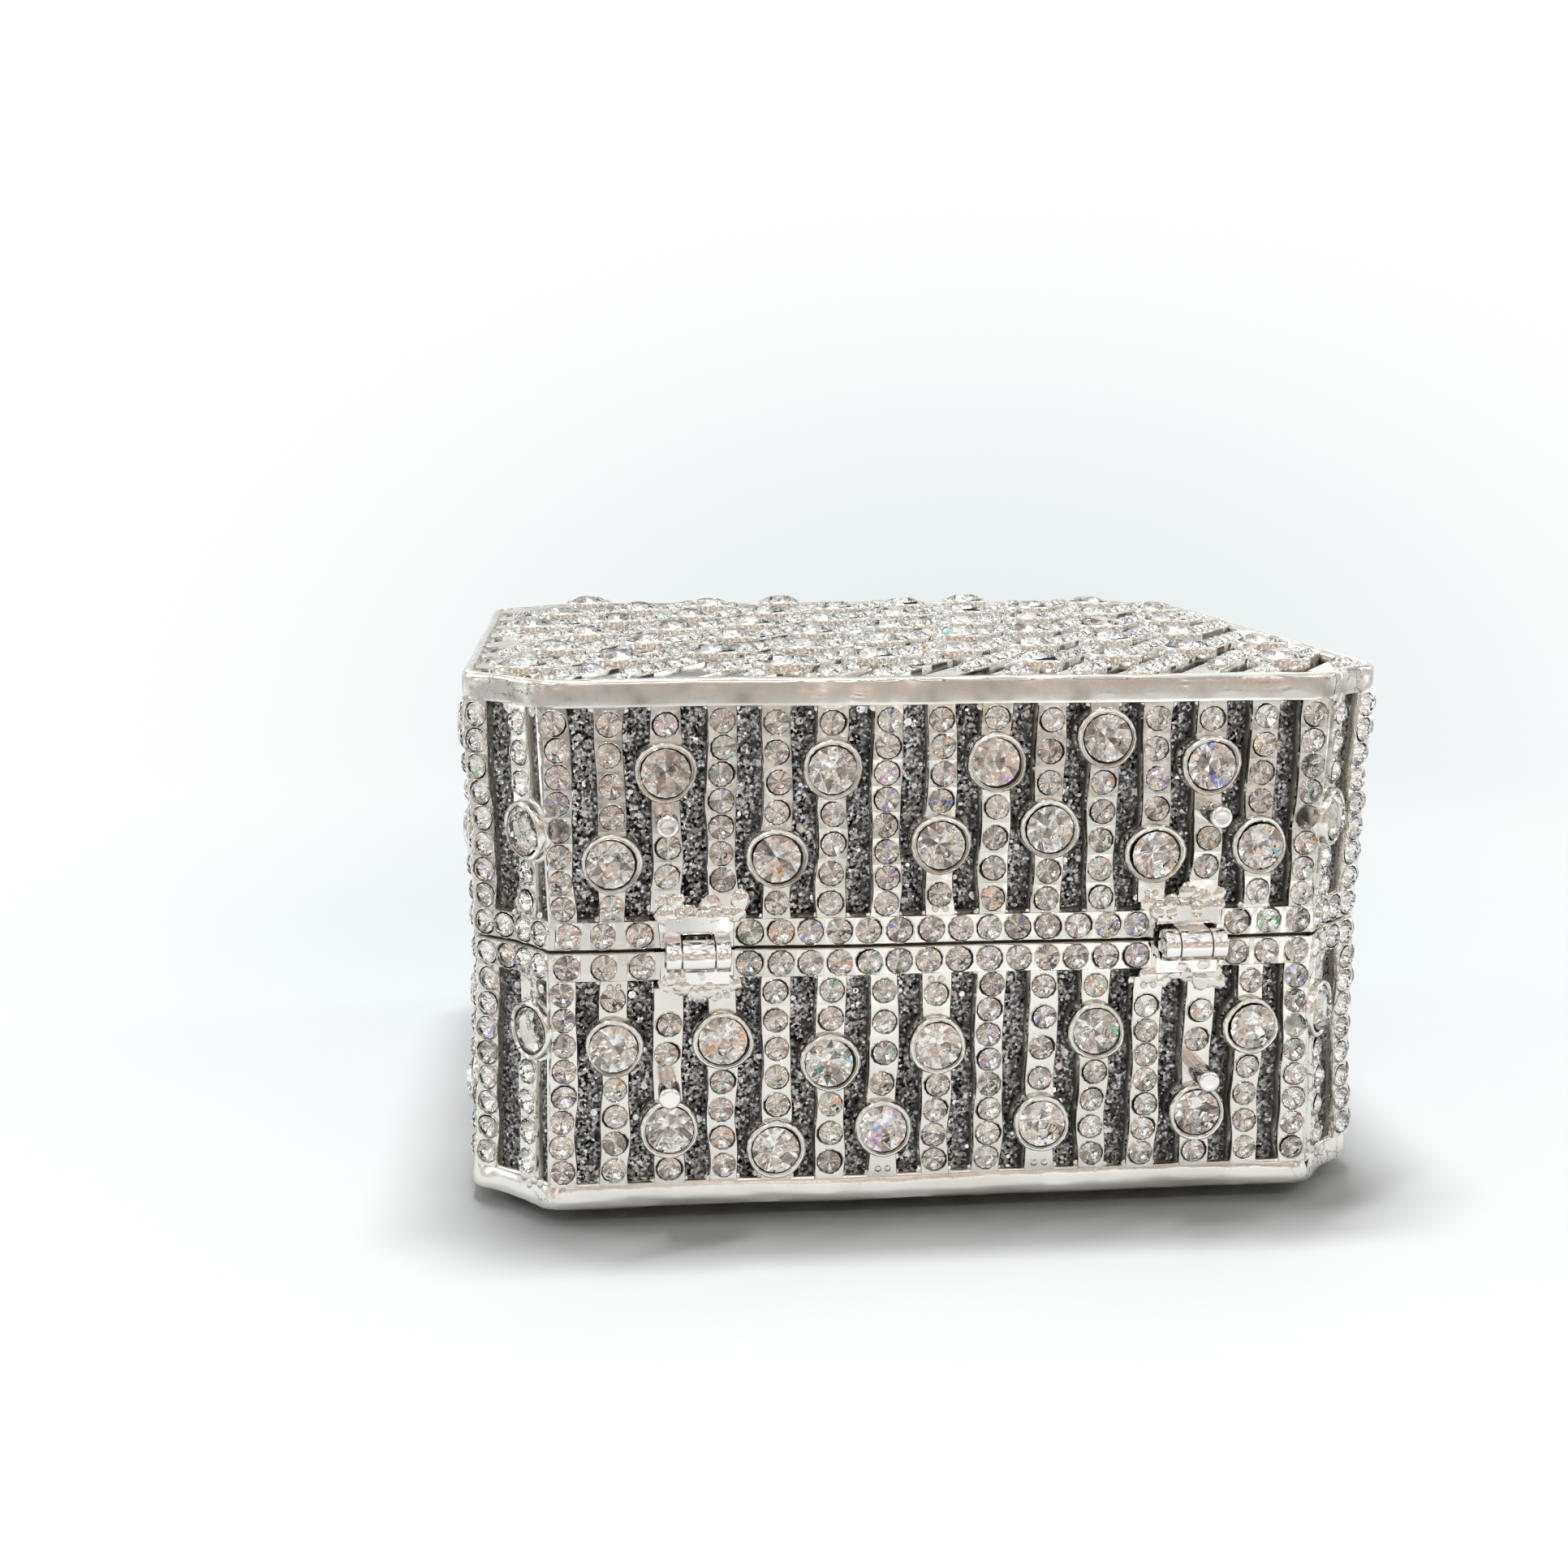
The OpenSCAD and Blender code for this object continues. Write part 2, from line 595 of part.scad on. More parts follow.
module base_side_large_stones() {
    color(crystal) in_base() {
        on_left() large_stones(large_places(side_span, base_side_shares));
        on_right() large_stones(large_places(side_span, base_side_shares));
    }
}
module base_bottom_large_stones() { color(crystal) in_base() face_large_stones(); }
module base_front_small_stones() {
    color(crystal) in_base() on_front() small_stones([
        for (p = small_places(front_span, base_front_shares))
            if (clear_of_hinges(p) && is_clear(p, peg_places(base_front_shares), peg_r + small_r + glue_gap)) p
    ]);
}
module base_rear_small_stones() {
    color(crystal) in_base() on_rear() small_stones([
        for (p = small_places(front_span, base_rear_shares)) if (is_clear(p, clasp_spot, clasp_reach)) p
    ]);
}
module base_side_small_stones() {
    color(crystal) in_base() {
        on_left() small_stones(small_places(side_span, base_side_shares));
        on_right() small_stones(small_places(side_span, base_side_shares));
    }
}
module base_bottom_small_stones() { color(crystal) in_base() face_small_stones(); }
module base_corner_stones() { color(crystal) in_base() corner_stones(base_corner_share); }
module base_seam_stones() {
    color(crystal) in_base() {
        on_front() small_stones(front_seam_places);
        on_rear() small_stones([for (p = face_seam_places) if (is_clear(p, clasp_spot, clasp_reach)) p]);
        on_left() small_stones(side_seam_places);
        on_right() small_stones(side_seam_places);
    }
}
module base_standing_pegs() { color(silver) in_base() pegs(base_front_shares); }
module left_hinge_base_leaf() {
    color(silver) translate([left_hinge_x, 0, 0]) turned_down() hinge_half(mid_part);
}
module right_hinge_base_leaf() {
    color(silver) translate([right_hinge_x, 0, 0]) turned_down() hinge_half(side_parts);
}
module left_hinge_pin() { color(silver) translate([left_hinge_x, 0, 0]) pin(); }
module right_hinge_pin() { color(silver) translate([right_hinge_x, 0, 0]) pin(); }
module clasp_housing() {
    color(silver) turned([
        [stem_bore_r, housing_end_y], [housing_r, housing_end_y], [housing_r, half_d], [collar_r, half_d],
        [collar_r, collar_y], [sleeve_bore_r, collar_y], [sleeve_bore_r, spring_seat_y],
        [stem_bore_r, spring_seat_y]
    ]);
}
module clasp_button() {
    seat_r = button_stone_d / 2 + glue_gap;
    color(silver) turned([
        [0, pawl_y - catch_t], [stem_r, pawl_y - catch_t], [stem_r, button_back_y], [button_r, button_back_y],
        [button_r, button_face_y], [seat_r, button_face_y], [seat_r, button_face_y - stone_seat],
        [0, button_face_y - stone_seat]
    ]);
}
module clasp_pawl() {
    pawl_low = button_z - boss_r;
    color(silver) difference() {
        union() {
            translate([-catch_w / 2, pawl_y - catch_t, pawl_low])
                cube([catch_w, catch_t, nose_low + hook_h - pawl_low]);
            translate([-catch_w / 2, pawl_y - catch_t, nose_low])
                cube([catch_w, catch_t + hook_out, hook_h]);
            along_clasp() translate([0, 0, pawl_y - catch_t / 2])
                cylinder(r = boss_r, h = housing_end_y - pawl_y + catch_t / 2);
        }
        along_clasp() translate([0, 0, pawl_y - catch_t - cut])
            cylinder(r = stem_r + glue_gap, h = housing_end_y - pawl_y + catch_t + 2 * cut);
    }
}
module clasp_spring() { color(silver) along_clasp() translate([0, 0, spring_seat_y]) helix(); }
module clasp_button_stone() {
    color(crystal) along_clasp() translate([0, 0, button_face_y - stone_seat])
        stone(button_stone_d, button_stone_h);
}

module lid_top_grille() { color(silver) in_lid() face_grille(cup_h); }
module lid_front_wall() { color(silver) in_lid() front_wall(lid_front_shares, lid_notches); }
module lid_rear_wall() { color(silver) in_lid() rear_wall(lid_rear_shares); }
module lid_left_wall() { color(silver) in_lid() on_left() side_wall(lid_side_shares); }
module lid_right_wall() { color(silver) in_lid() on_right() side_wall(lid_side_shares); }
module lid_rear_right_corner() { color(silver) in_lid() corner(lid_corner_share); }
module lid_rear_left_corner() { color(silver) in_lid() mirror([1, 0, 0]) corner(lid_corner_share); }
module lid_front_right_corner() { color(silver) in_lid() mirror([0, 1, 0]) corner(lid_corner_share); }
module lid_front_left_corner() {
    color(silver) in_lid() mirror([1, 0, 0]) mirror([0, 1, 0]) corner(lid_corner_share);
}
module lid_top_glitter_sheet() { color(charcoal) in_lid() face_sheet(); }
module lid_wall_glitter_sheet() { color(charcoal) in_lid() wall_sheet(); }
module lid_inner_tray() { color(lining_grey) in_lid() tray(); }
module lid_front_large_stones() {
    color(crystal) in_lid() on_front() large_stones(large_places(front_span, lid_front_shares));
}
module lid_rear_large_stones() {
    color(crystal) in_lid() on_rear() large_stones(large_places(front_span, lid_rear_shares));
}
module lid_side_large_stones() {
    color(crystal) in_lid() {
        on_left() large_stones(large_places(side_span, lid_side_shares));
        on_right() large_stones(large_places(side_span, lid_side_shares));
    }
}
module lid_top_large_stones() { color(crystal) in_lid() face_large_stones(); }
module lid_front_small_stones() {
    color(crystal) in_lid() on_front() small_stones([
        for (p = small_places(front_span, lid_front_shares))
            if (clear_of_hinges(p) && is_clear(p, peg_places(lid_front_shares), peg_r + small_r + glue_gap)) p
    ]);
}
module lid_rear_small_stones() {
    color(crystal) in_lid() on_rear() small_stones(small_places(front_span, lid_rear_shares));
}
module lid_side_small_stones() {
    color(crystal) in_lid() {
        on_left() small_stones(small_places(side_span, lid_side_shares));
        on_right() small_stones(small_places(side_span, lid_side_shares));
    }
}
module lid_top_small_stones() { color(crystal) in_lid() face_small_stones(); }
module lid_corner_stones() { color(crystal) in_lid() corner_stones(lid_corner_share); }
module lid_seam_stones() {
    color(crystal) in_lid() {
        on_front() small_stones(front_seam_places);
        on_rear() small_stones(face_seam_places);
        on_left() small_stones(side_seam_places);
        on_right() small_stones(side_seam_places);
    }
}
module lid_standing_pegs() { color(silver) in_lid() pegs(lid_front_shares); }
module left_hinge_lid_leaf() { color(silver) translate([left_hinge_x, 0, 0]) hinge_half(side_parts); }
module right_hinge_lid_leaf() { color(silver) translate([right_hinge_x, 0, 0]) hinge_half(mid_part); }
module clasp_catch() {
    bracket_h = 2 * catch_t;
    color(silver) union() {
        translate([-catch_w / 2, catch_y - catch_t, catch_low])
            cube([catch_w, catch_t, bracket_low + bracket_h - catch_low]);
        translate([-catch_w / 2, catch_y - catch_t - hook_out, catch_low])
            cube([catch_w, catch_t + hook_out, hook_h]);
        translate([-catch_w / 2, catch_y - catch_t, bracket_low])
            cube([catch_w, half_d - wall_stack - catch_y + catch_t, bracket_h]);
    }
}

placed() base_bottom_grille();
placed() base_front_wall();
placed() base_rear_wall();
placed() base_left_wall();
placed() base_right_wall();
placed() base_front_left_corner();
placed() base_front_right_corner();
placed() base_rear_left_corner();
placed() base_rear_right_corner();
placed() base_floor_glitter_sheet();
placed() base_wall_glitter_sheet();
placed() base_inner_tray();
placed() base_front_large_stones();
placed() base_rear_large_stones();
placed() base_side_large_stones();
placed() base_bottom_large_stones();
placed() base_front_small_stones();
placed() base_rear_small_stones();
placed() base_side_small_stones();
placed() base_bottom_small_stones();
placed() base_corner_stones();
placed() base_seam_stones();
placed() base_standing_pegs();
placed() left_hinge_base_leaf();
placed() right_hinge_base_leaf();
placed() left_hinge_pin();
placed() right_hinge_pin();
placed() clasp_housing();
placed() clasp_button();
placed() clasp_pawl();
placed() clasp_spring();
placed() clasp_button_stone();
placed() lid_top_grille();
placed() lid_front_wall();
placed() lid_rear_wall();
placed() lid_left_wall();
placed() lid_right_wall();
placed() lid_front_left_corner();
placed() lid_front_right_corner();
placed() lid_rear_left_corner();
placed() lid_rear_right_corner();
placed() lid_top_glitter_sheet();
placed() lid_wall_glitter_sheet();
placed() lid_inner_tray();
placed() lid_front_large_stones();
placed() lid_rear_large_stones();
placed() lid_side_large_stones();
placed() lid_top_large_stones();
placed() lid_front_small_stones();
placed() lid_rear_small_stones();
placed() lid_side_small_stones();
placed() lid_top_small_stones();
placed() lid_corner_stones();
placed() lid_seam_stones();
placed() lid_standing_pegs();
placed() left_hinge_lid_leaf();
placed() right_hinge_lid_leaf();
placed() clasp_catch();
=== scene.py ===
# %% [markdown]
# # A rhinestone clutch
# The real object is a hard evening clutch: two shells of cast open metalwork that open like a book on two
# small hinges. Bars, bands and round cups are cast as panels and brazed together, stones are glued in their
# seats, and a sheet of glitter shows through the slots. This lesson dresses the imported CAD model, which
# stays as the fixed frame: every new piece is laid on the places that the CAD solids give.

# %% Load the frame and keep its box
import math

import bpy
import bmesh
import numpy as np
from mathutils import Matrix, Vector


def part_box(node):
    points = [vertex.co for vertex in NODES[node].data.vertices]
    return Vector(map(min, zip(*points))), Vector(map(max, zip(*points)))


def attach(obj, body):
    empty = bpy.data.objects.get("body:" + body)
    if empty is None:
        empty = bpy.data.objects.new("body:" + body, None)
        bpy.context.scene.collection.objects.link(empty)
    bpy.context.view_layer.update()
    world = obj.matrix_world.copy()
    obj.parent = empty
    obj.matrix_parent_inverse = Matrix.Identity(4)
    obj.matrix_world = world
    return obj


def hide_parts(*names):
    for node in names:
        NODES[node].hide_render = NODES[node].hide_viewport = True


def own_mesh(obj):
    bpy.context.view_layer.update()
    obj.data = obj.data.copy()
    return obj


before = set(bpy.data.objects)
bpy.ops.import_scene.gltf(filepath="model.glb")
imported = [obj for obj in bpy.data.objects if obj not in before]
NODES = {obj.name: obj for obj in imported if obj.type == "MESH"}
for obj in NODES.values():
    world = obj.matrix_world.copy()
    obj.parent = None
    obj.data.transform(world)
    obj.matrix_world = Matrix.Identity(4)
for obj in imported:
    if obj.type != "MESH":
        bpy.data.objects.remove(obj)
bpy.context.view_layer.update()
MM = 0.001

# %% [markdown]
# ## The camera
# The photograph was taken a little above the clutch, from its left, with a phone's wide lens. The place and
# the turn of the camera were solved from the straight edges of the case, so the render has the same view.

# %% Camera at the photograph's place
CAMERA_PLACE = Vector((-36.8, -237.94, 85.3)) * MM
CAMERA_DOWN = math.radians(10.57)
CAMERA_YAW = math.radians(5.84)
CAMERA_ROLL = math.radians(0.22)
SENSOR = 36.0
FOCAL_SHARE = 2300 / 1932


def new_object(name, data):
    obj = bpy.data.objects.new(name, data)
    bpy.context.scene.collection.objects.link(obj)
    return obj


def looking_along(direction):
    return Vector(direction).to_track_quat("-Z", "Y").to_matrix().to_4x4()


looking = Vector((
    math.sin(CAMERA_YAW) * math.cos(CAMERA_DOWN),
    math.cos(CAMERA_YAW) * math.cos(CAMERA_DOWN),
    -math.sin(CAMERA_DOWN),
))
camera_data = bpy.data.cameras.new("camera")
camera_data.sensor_width = SENSOR
camera_data.lens = SENSOR * FOCAL_SHARE
camera_data.clip_start = 0.01
camera_data.clip_end = 20
camera = new_object("camera", camera_data)
aim = looking_along(looking) @ Matrix.Rotation(CAMERA_ROLL, 4, "Z")
camera.matrix_world = Matrix.Translation(CAMERA_PLACE) @ aim
bpy.context.scene.camera = camera
print("lens in mm:", round(camera_data.lens, 2))

# %% [markdown]
# ## Small helpers for materials
# A material is a tree of nodes. The first two helpers set a node's inputs and add a node, and the rest are
# short forms of the nodes that most finishes need, so that each finish reads as a list of what it's made of.

# %% Node helpers
def feed(tree, node, inputs):
    """Set these inputs of a node. A socket is linked, and anything else is a plain value."""
    for name, value in dict(inputs).items():
        if isinstance(value, bpy.types.NodeSocket):
            tree.links.new(value, node.inputs[name])
        else:
            node.inputs[name].default_value = value


def add_node(tree, kind, inputs=(), **settings):
    node = tree.nodes.new("ShaderNode" + kind)
    for name, value in settings.items():
        setattr(node, name, value)
    feed(tree, node, inputs)
    return node


def ramp(tree, factor, stops, interpolation="LINEAR"):
    """The colour that a Color Ramp with these stops, each a place and a colour, gives for a factor."""
    node = add_node(tree, "ValToRGB", {"Fac": factor})
    node.color_ramp.interpolation = interpolation
    while len(node.color_ramp.elements) < len(stops):
        node.color_ramp.elements.new(0.5)
    for element, (place, colour) in zip(node.color_ramp.elements, stops):
        element.position = place
        element.color = colour if len(colour) == 4 else (*colour, 1)
    return node.outputs["Color"]


def grey(value):
    return (value, value, value)


def greys(*stops):
    """Stops of a ramp whose colours are all grey."""
    return [(place, grey(value)) for place, value in stops]


def noise(tree, place, scale, detail):
    return add_node(tree, "TexNoise", {"Vector": place, "Scale": scale, "Detail": detail}).outputs


def cells(tree, place, scale, feature="F1"):
    return add_node(tree, "TexVoronoi", {"Vector": place, "Scale": scale}, feature=feature).outputs


def mixed(tree, factor, a, b, blend="MIX"):
    """Colour a where the factor is 0, and b, or a blended with b, where it is 1."""
    sockets = {"Factor": factor, "A": a, "B": b}
    return add_node(tree, "Mix", sockets, data_type="RGBA", blend_type=blend).outputs["Result"]


def mapped(tree, value, low, high, to_low=0.0, to_high=1.0, kind="LINEAR"):
    """The value stretched from one range to another, and held at its ends."""
    sockets = {"Value": value, "From Min": low, "From Max": high, "To Min": to_low, "To Max": to_high}
    return add_node(tree, "MapRange", sockets, interpolation_type=kind).outputs["Result"]


def smooth_step(tree, value, low, high):
    return mapped(tree, value, low, high, kind="SMOOTHSTEP")


def sums(tree, operation, *values, clamped=False):
    """The result of a Math node."""
    node = add_node(tree, "Math", dict(enumerate(values)), operation=operation, use_clamp=clamped)
    return node.outputs["Value"]


def vectors(tree, operation, *values):
    """The result of a Vector Math node: a number for a length or a distance, and a vector otherwise."""
    node = add_node(tree, "VectorMath", dict(enumerate(values)), operation=operation)
    return node.outputs["Value" if operation in ("LENGTH", "DISTANCE") else "Vector"]


def object_place(tree):
    return add_node(tree, "TexCoord").outputs["Object"]


def new_material(name):
    material = bpy.data.materials.new(name)
    material.use_nodes = True
    tree = material.node_tree
    tree.nodes.clear()
    shader = add_node(tree, "BsdfPrincipled")
    out = add_node(tree, "OutputMaterial", {"Surface": shader.outputs["BSDF"]})
    return material, tree, shader, out


# %% [markdown]
# ## The studio
# A plain pale floor runs into a plain pale background. The floor around the clutch and the background
# behind it are painted a soft grey, as painted shade. For the eye of the camera the far floor takes the
# background's own colour, so no horizon shows. Metal and cut glass need something to mirror: the side
# behind the camera is darker and warmer, the sky above is brightest, and soft patches break both up, as the
# things in a room do. Rough surfaces find little light in front, so the shadow falls there.

# %% World
WHITE = (1, 1, 1, 1)
PALE = (0.905, 0.912, 0.90, 1)
# Painted shade: the pale grey of the patch on the background behind the clutch.
HALO = (0.785, 0.85, 0.855, 1)
WARM = (0.74, 0.645, 0.575, 1)
BRIGHT = (1.08, 1.08, 1.06, 1)
HALO_RIGHT, HALO_UP, HALO_REACH = 0.10, 0.02, 0.48
HALO_SQUASH = (1.0, 1.0, 1.55)
BEHIND_CAMERA, ABOVE = (-0.15, -0.75), (0.35, 0.8)
PATCH_SCALE, PATCH_DETAIL = 4.2, 2.0
PATCH_SHADES = greys((0.36, 0.4), (0.43, 0.8), (0.53, 1.0), (0.57, 1.1), (0.60, 1.8))
TURNOVER = 0.3
SHARE_IN_FRONT, SHARE_BEHIND = 0.08, 0.40
world = bpy.data.worlds.new("pale_studio")
bpy.context.scene.world = world
world.use_nodes = True
sky = world.node_tree
sky.nodes.clear()


def around(tree, direction):
    """What metal and glass mirror: warm and dark behind the camera, bright above, and patchy all over."""
    parts = add_node(tree, "SeparateXYZ", {0: direction}).outputs
    base = mixed(tree, smooth_step(tree, parts["Y"], *BEHIND_CAMERA), PALE, WARM)
    base = mixed(tree, smooth_step(tree, parts["Z"], *ABOVE), base, BRIGHT)
    patches = noise(tree, direction, PATCH_SCALE, PATCH_DETAIL)["Fac"]
    return mixed(tree, 1.0, base, ramp(tree, patches, PATCH_SHADES), "MULTIPLY")


def backdrop_colour(tree, direction):
    """What the camera sees behind the object: white, and a soft pale grey patch of painted shade behind it.
    """
    axis = looking + HALO_RIGHT * looking.cross((0, 0, 1)).normalized() + Vector((0, 0, HALO_UP))
    off = vectors(tree, "SUBTRACT", vectors(tree, "NORMALIZE", direction), axis.normalized())
    distance = vectors(tree, "LENGTH", vectors(tree, "MULTIPLY", off, HALO_SQUASH))
    return mixed(tree, smooth_step(tree, distance, HALO_REACH, 0.0), WHITE, HALO)


direction = add_node(sky, "TexCoord").outputs["Generated"]
rays = add_node(sky, "LightPath").outputs
seen = mixed(sky, rays["Is Camera Ray"], around(sky, direction), backdrop_colour(sky, direction))
depth = add_node(sky, "SeparateXYZ", {0: direction}).outputs["Y"]
soft_light = mapped(sky, depth, -TURNOVER, TURNOVER, SHARE_IN_FRONT, SHARE_BEHIND)
strength = mapped(sky, rays["Is Diffuse Ray"], 0.0, 1.0, 1.0, soft_light)
backdrop = add_node(sky, "Background", {"Color": seen, "Strength": strength})
add_node(sky, "OutputWorld", {"Surface": backdrop.outputs["Background"]})
print("world:", world.name, "with", len(sky.nodes), "nodes")

# %% Floor
FLOOR_SIZE, FLOOR_PARTS = 6.0, 12
FLOOR_ROUGHNESS, FLOOR_SHINE = 0.55, 0.2
FADE_SEEN, FADE_MIRRORED = (0.12, 0.30), (0.09, 0.22)
FLOOR_PALE, FLOOR_SHADE_GREY = (0.87, 0.88, 0.88, 1), (0.68, 0.72, 0.73, 1)
# Painted shade: the floor's colour turns greyer near a place just behind the clutch.
FLOOR_SHADE_PLACE, FLOOR_SHADE_REACH = (0.01, 0.10, 0.0), 0.22


def floor_material():
    material, tree, shader, out = new_material("pale_floor")
    place = object_place(tree)
    # Painted shade on the floor around the clutch.
    floor_shade = smooth_step(tree, vectors(tree, "DISTANCE", place, FLOOR_SHADE_PLACE), FLOOR_SHADE_REACH, FLOOR_SHADE_REACH / 4)
    feed(tree, shader, {"Base Color": mixed(tree, floor_shade, FLOOR_PALE, FLOOR_SHADE_GREY),
                        "Roughness": FLOOR_ROUGHNESS, "Specular IOR Level": FLOOR_SHINE})
    distance = vectors(tree, "LENGTH", place)
    path = add_node(tree, "LightPath").outputs
    mirrored = sums(tree, "MAXIMUM", path["Is Glossy Ray"], path["Is Transmission Ray"])
    fades = [sums(tree, "MULTIPLY", smooth_step(tree, distance, *reach), ray)
             for reach, ray in ((FADE_SEEN, path["Is Camera Ray"]), (FADE_MIRRORED, mirrored))]
    from_camera = vectors(tree, "SUBTRACT", place, CAMERA_PLACE)
    colour = mixed(tree, path["Is Camera Ray"], around(tree, place), backdrop_colour(tree, from_camera))
    glow = add_node(tree, "Emission", {"Color": colour, "Strength": 1.0})
    both = add_node(tree, "MixShader", {
        0: sums(tree, "MAXIMUM", *fades), 1: shader.outputs["BSDF"], 2: glow.outputs["Emission"]})
    feed(tree, out, {"Surface": both.outputs["Shader"]})
    return material


def nothing_selected():
    if bpy.context.object and bpy.context.object.mode != "OBJECT":
        bpy.ops.object.mode_set(mode="OBJECT")
    bpy.ops.object.select_all(action="DESELECT")


nothing_selected()
bpy.ops.mesh.primitive_grid_add(x_subdivisions=FLOOR_PARTS, y_subdivisions=FLOOR_PARTS, size=FLOOR_SIZE)
floor = bpy.context.object
floor.name = "floor"
floor.data.materials.append(floor_material())
print("floor half size in m:", FLOOR_SIZE / 2)

# %% Lamps
LIT_PLACE = Vector((0, 0, 0.03))


def soft_lamp(name, place, size, power, colour=(1, 1, 1)):
    data = bpy.data.lights.new(name, "AREA")
    data.shape = "RECTANGLE"
    data.size, data.size_y = size
    data.energy = power
    data.color = colour
    lamp = new_object(name, data)
    lamp.matrix_world = Matrix.Translation(place) @ looking_along(LIT_PLACE - Vector(place))


soft_lamp("lamp_above", (-0.01, 0.018, 0.80), (0.20, 0.03), 2.1)
soft_lamp("lamp_above_behind", (-0.01, 0.098, 0.82), (0.24, 0.06), 3.7)
soft_lamp("lamp_left", (-0.62, 0.16, 0.40), (0.22, 0.35), 0.5, (0.94, 0.97, 1.0))
soft_lamp("lamp_right", (0.66, 0.18, 0.36), (0.12, 0.35), 0.55, (1.0, 0.98, 0.95))
soft_lamp("lamp_spark_one", (-0.22, -0.55, 0.62), (0.05, 0.05), 0.22)
soft_lamp("lamp_spark_two", (0.35, -0.45, 0.50), (0.04, 0.04), 0.16)
bpy.context.scene.view_settings.view_transform = "Standard"

# %% [markdown]
# ## The case's own measures
# The casting is laid out from a few lengths, the same ones that the CAD part is built from. A wall is
# drawn flat, with u along it, v from the rim towards the seam and w out of it, and each drawing is then
# stood on its side of the case. The lid's drawings are the base's turned over.

# %% Lengths in millimetres
CASE_W, CASE_D, SHELL_H, SEAM_GAP, WALL_T = 102, 90, 28.8, 0.4, 2.2
CORNER_RUN, CORNER_DEPTH, STEP_W, STEP_BACK = 3.75, 4.75, 4.5, 3.25
BAR_PITCH, BAR_W, RIM_STRIP, SEAM_BAND, FACE_LEAN = 5.9, 2.9, 0.6, 3.1, math.radians(57)
LARGE_R, SMALL_R = 2.65, 1.3
LOWER_CUP_H = 2.0

half_w, half_d = CASE_W / 2, CASE_D / 2
slant_end = half_w - STEP_W
flat_end = slant_end - CORNER_RUN
step_y = half_d - CORNER_DEPTH
slant_l = math.hypot(CORNER_RUN, CORNER_DEPTH)
slant_angle = math.atan2(CORNER_DEPTH, CORNER_RUN)
side_end = step_y - STEP_BACK
step_l = math.hypot(STEP_W, STEP_BACK)
step_angle = math.atan2(STEP_BACK, STEP_W)
wall_h = SHELL_H - WALL_T
slot_high = wall_h - SEAM_BAND
seam_row = wall_h - SEAM_BAND / 2

case_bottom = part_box("base_bottom_grille")[0].z / MM + LOWER_CUP_H
case_top = case_bottom + 2 * SHELL_H + SEAM_GAP
wall_low, wall_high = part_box("lid_top_glitter_sheet")
mid_shift = (wall_low.y + wall_high.y) / 2 / MM
hinge_low, hinge_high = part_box("left_hinge_pin")
print("bottom, top and shift of the case in mm:", case_bottom, case_top, round(mid_shift, 4))


# %% Frames of the walls
def axes(u, v, w, origin):
    m = Matrix.Identity(4)
    for column, axis in enumerate((u, v, w)):
        m.col[column][:3] = axis
    m.col[3][:3] = origin
    return m


def plan_wall(angle, x, y):
    """A wall that stands on the plan at x, y and faces the direction angle."""
    c, s = math.cos(angle), math.sin(angle)
    return axes((-s, c, 0), (0, 0, 1), (c, s, 0), (x, y, WALL_T))


WALLS = {
    "front": plan_wall(math.radians(-90), 0, -half_d),
    "rear": plan_wall(math.radians(90), 0, half_d),
    "right": plan_wall(0, half_w, 0),
    "left": plan_wall(math.radians(180), -half_w, 0),
}
RIGHT_REAR = {
    "slant": plan_wall(math.radians(90) - slant_angle, (flat_end + slant_end) / 2, (half_d + step_y) / 2),
    "step": plan_wall(math.radians(90) - step_angle, half_w - BAR_W / 2 * math.cos(step_angle),
                      side_end + BAR_W / 2 * math.sin(step_angle)),
}
BASE = Matrix.Translation((0, mid_shift, case_bottom))
LID = Matrix.Translation((0, mid_shift, case_top)) @ Matrix.Diagonal((1, 1, -1, 1))
SHELLS = {"base": BASE, "lid": LID}
lean_c, lean_s = math.cos(FACE_LEAN), math.sin(FACE_LEAN)
FACE = axes((lean_s, -lean_c, 0), (lean_c, lean_s, 0), (0, 0, -1), (0, 0, 0))
CORNERS = {"rear_right": (1, 1), "rear_left": (-1, 1), "front_right": (1, -1), "front_left": (-1, -1)}


def along_band(m, row):
    """The same wall frame turned, so that a band along the seam is drawn as a bar."""
    return m @ axes((0, -1, 0), (1, 0, 0), (0, 0, 1), (0, row, 0))


print("walls:", list(WALLS), "and per corner:", list(RIGHT_REAR))

# %% [markdown]
# ## Where the stones are
# The CAD model already has every stone as a plain solid. Each solid is found as an island of joined
# triangles; its largest flat side is its back, which gives its place, its direction and its diameter.

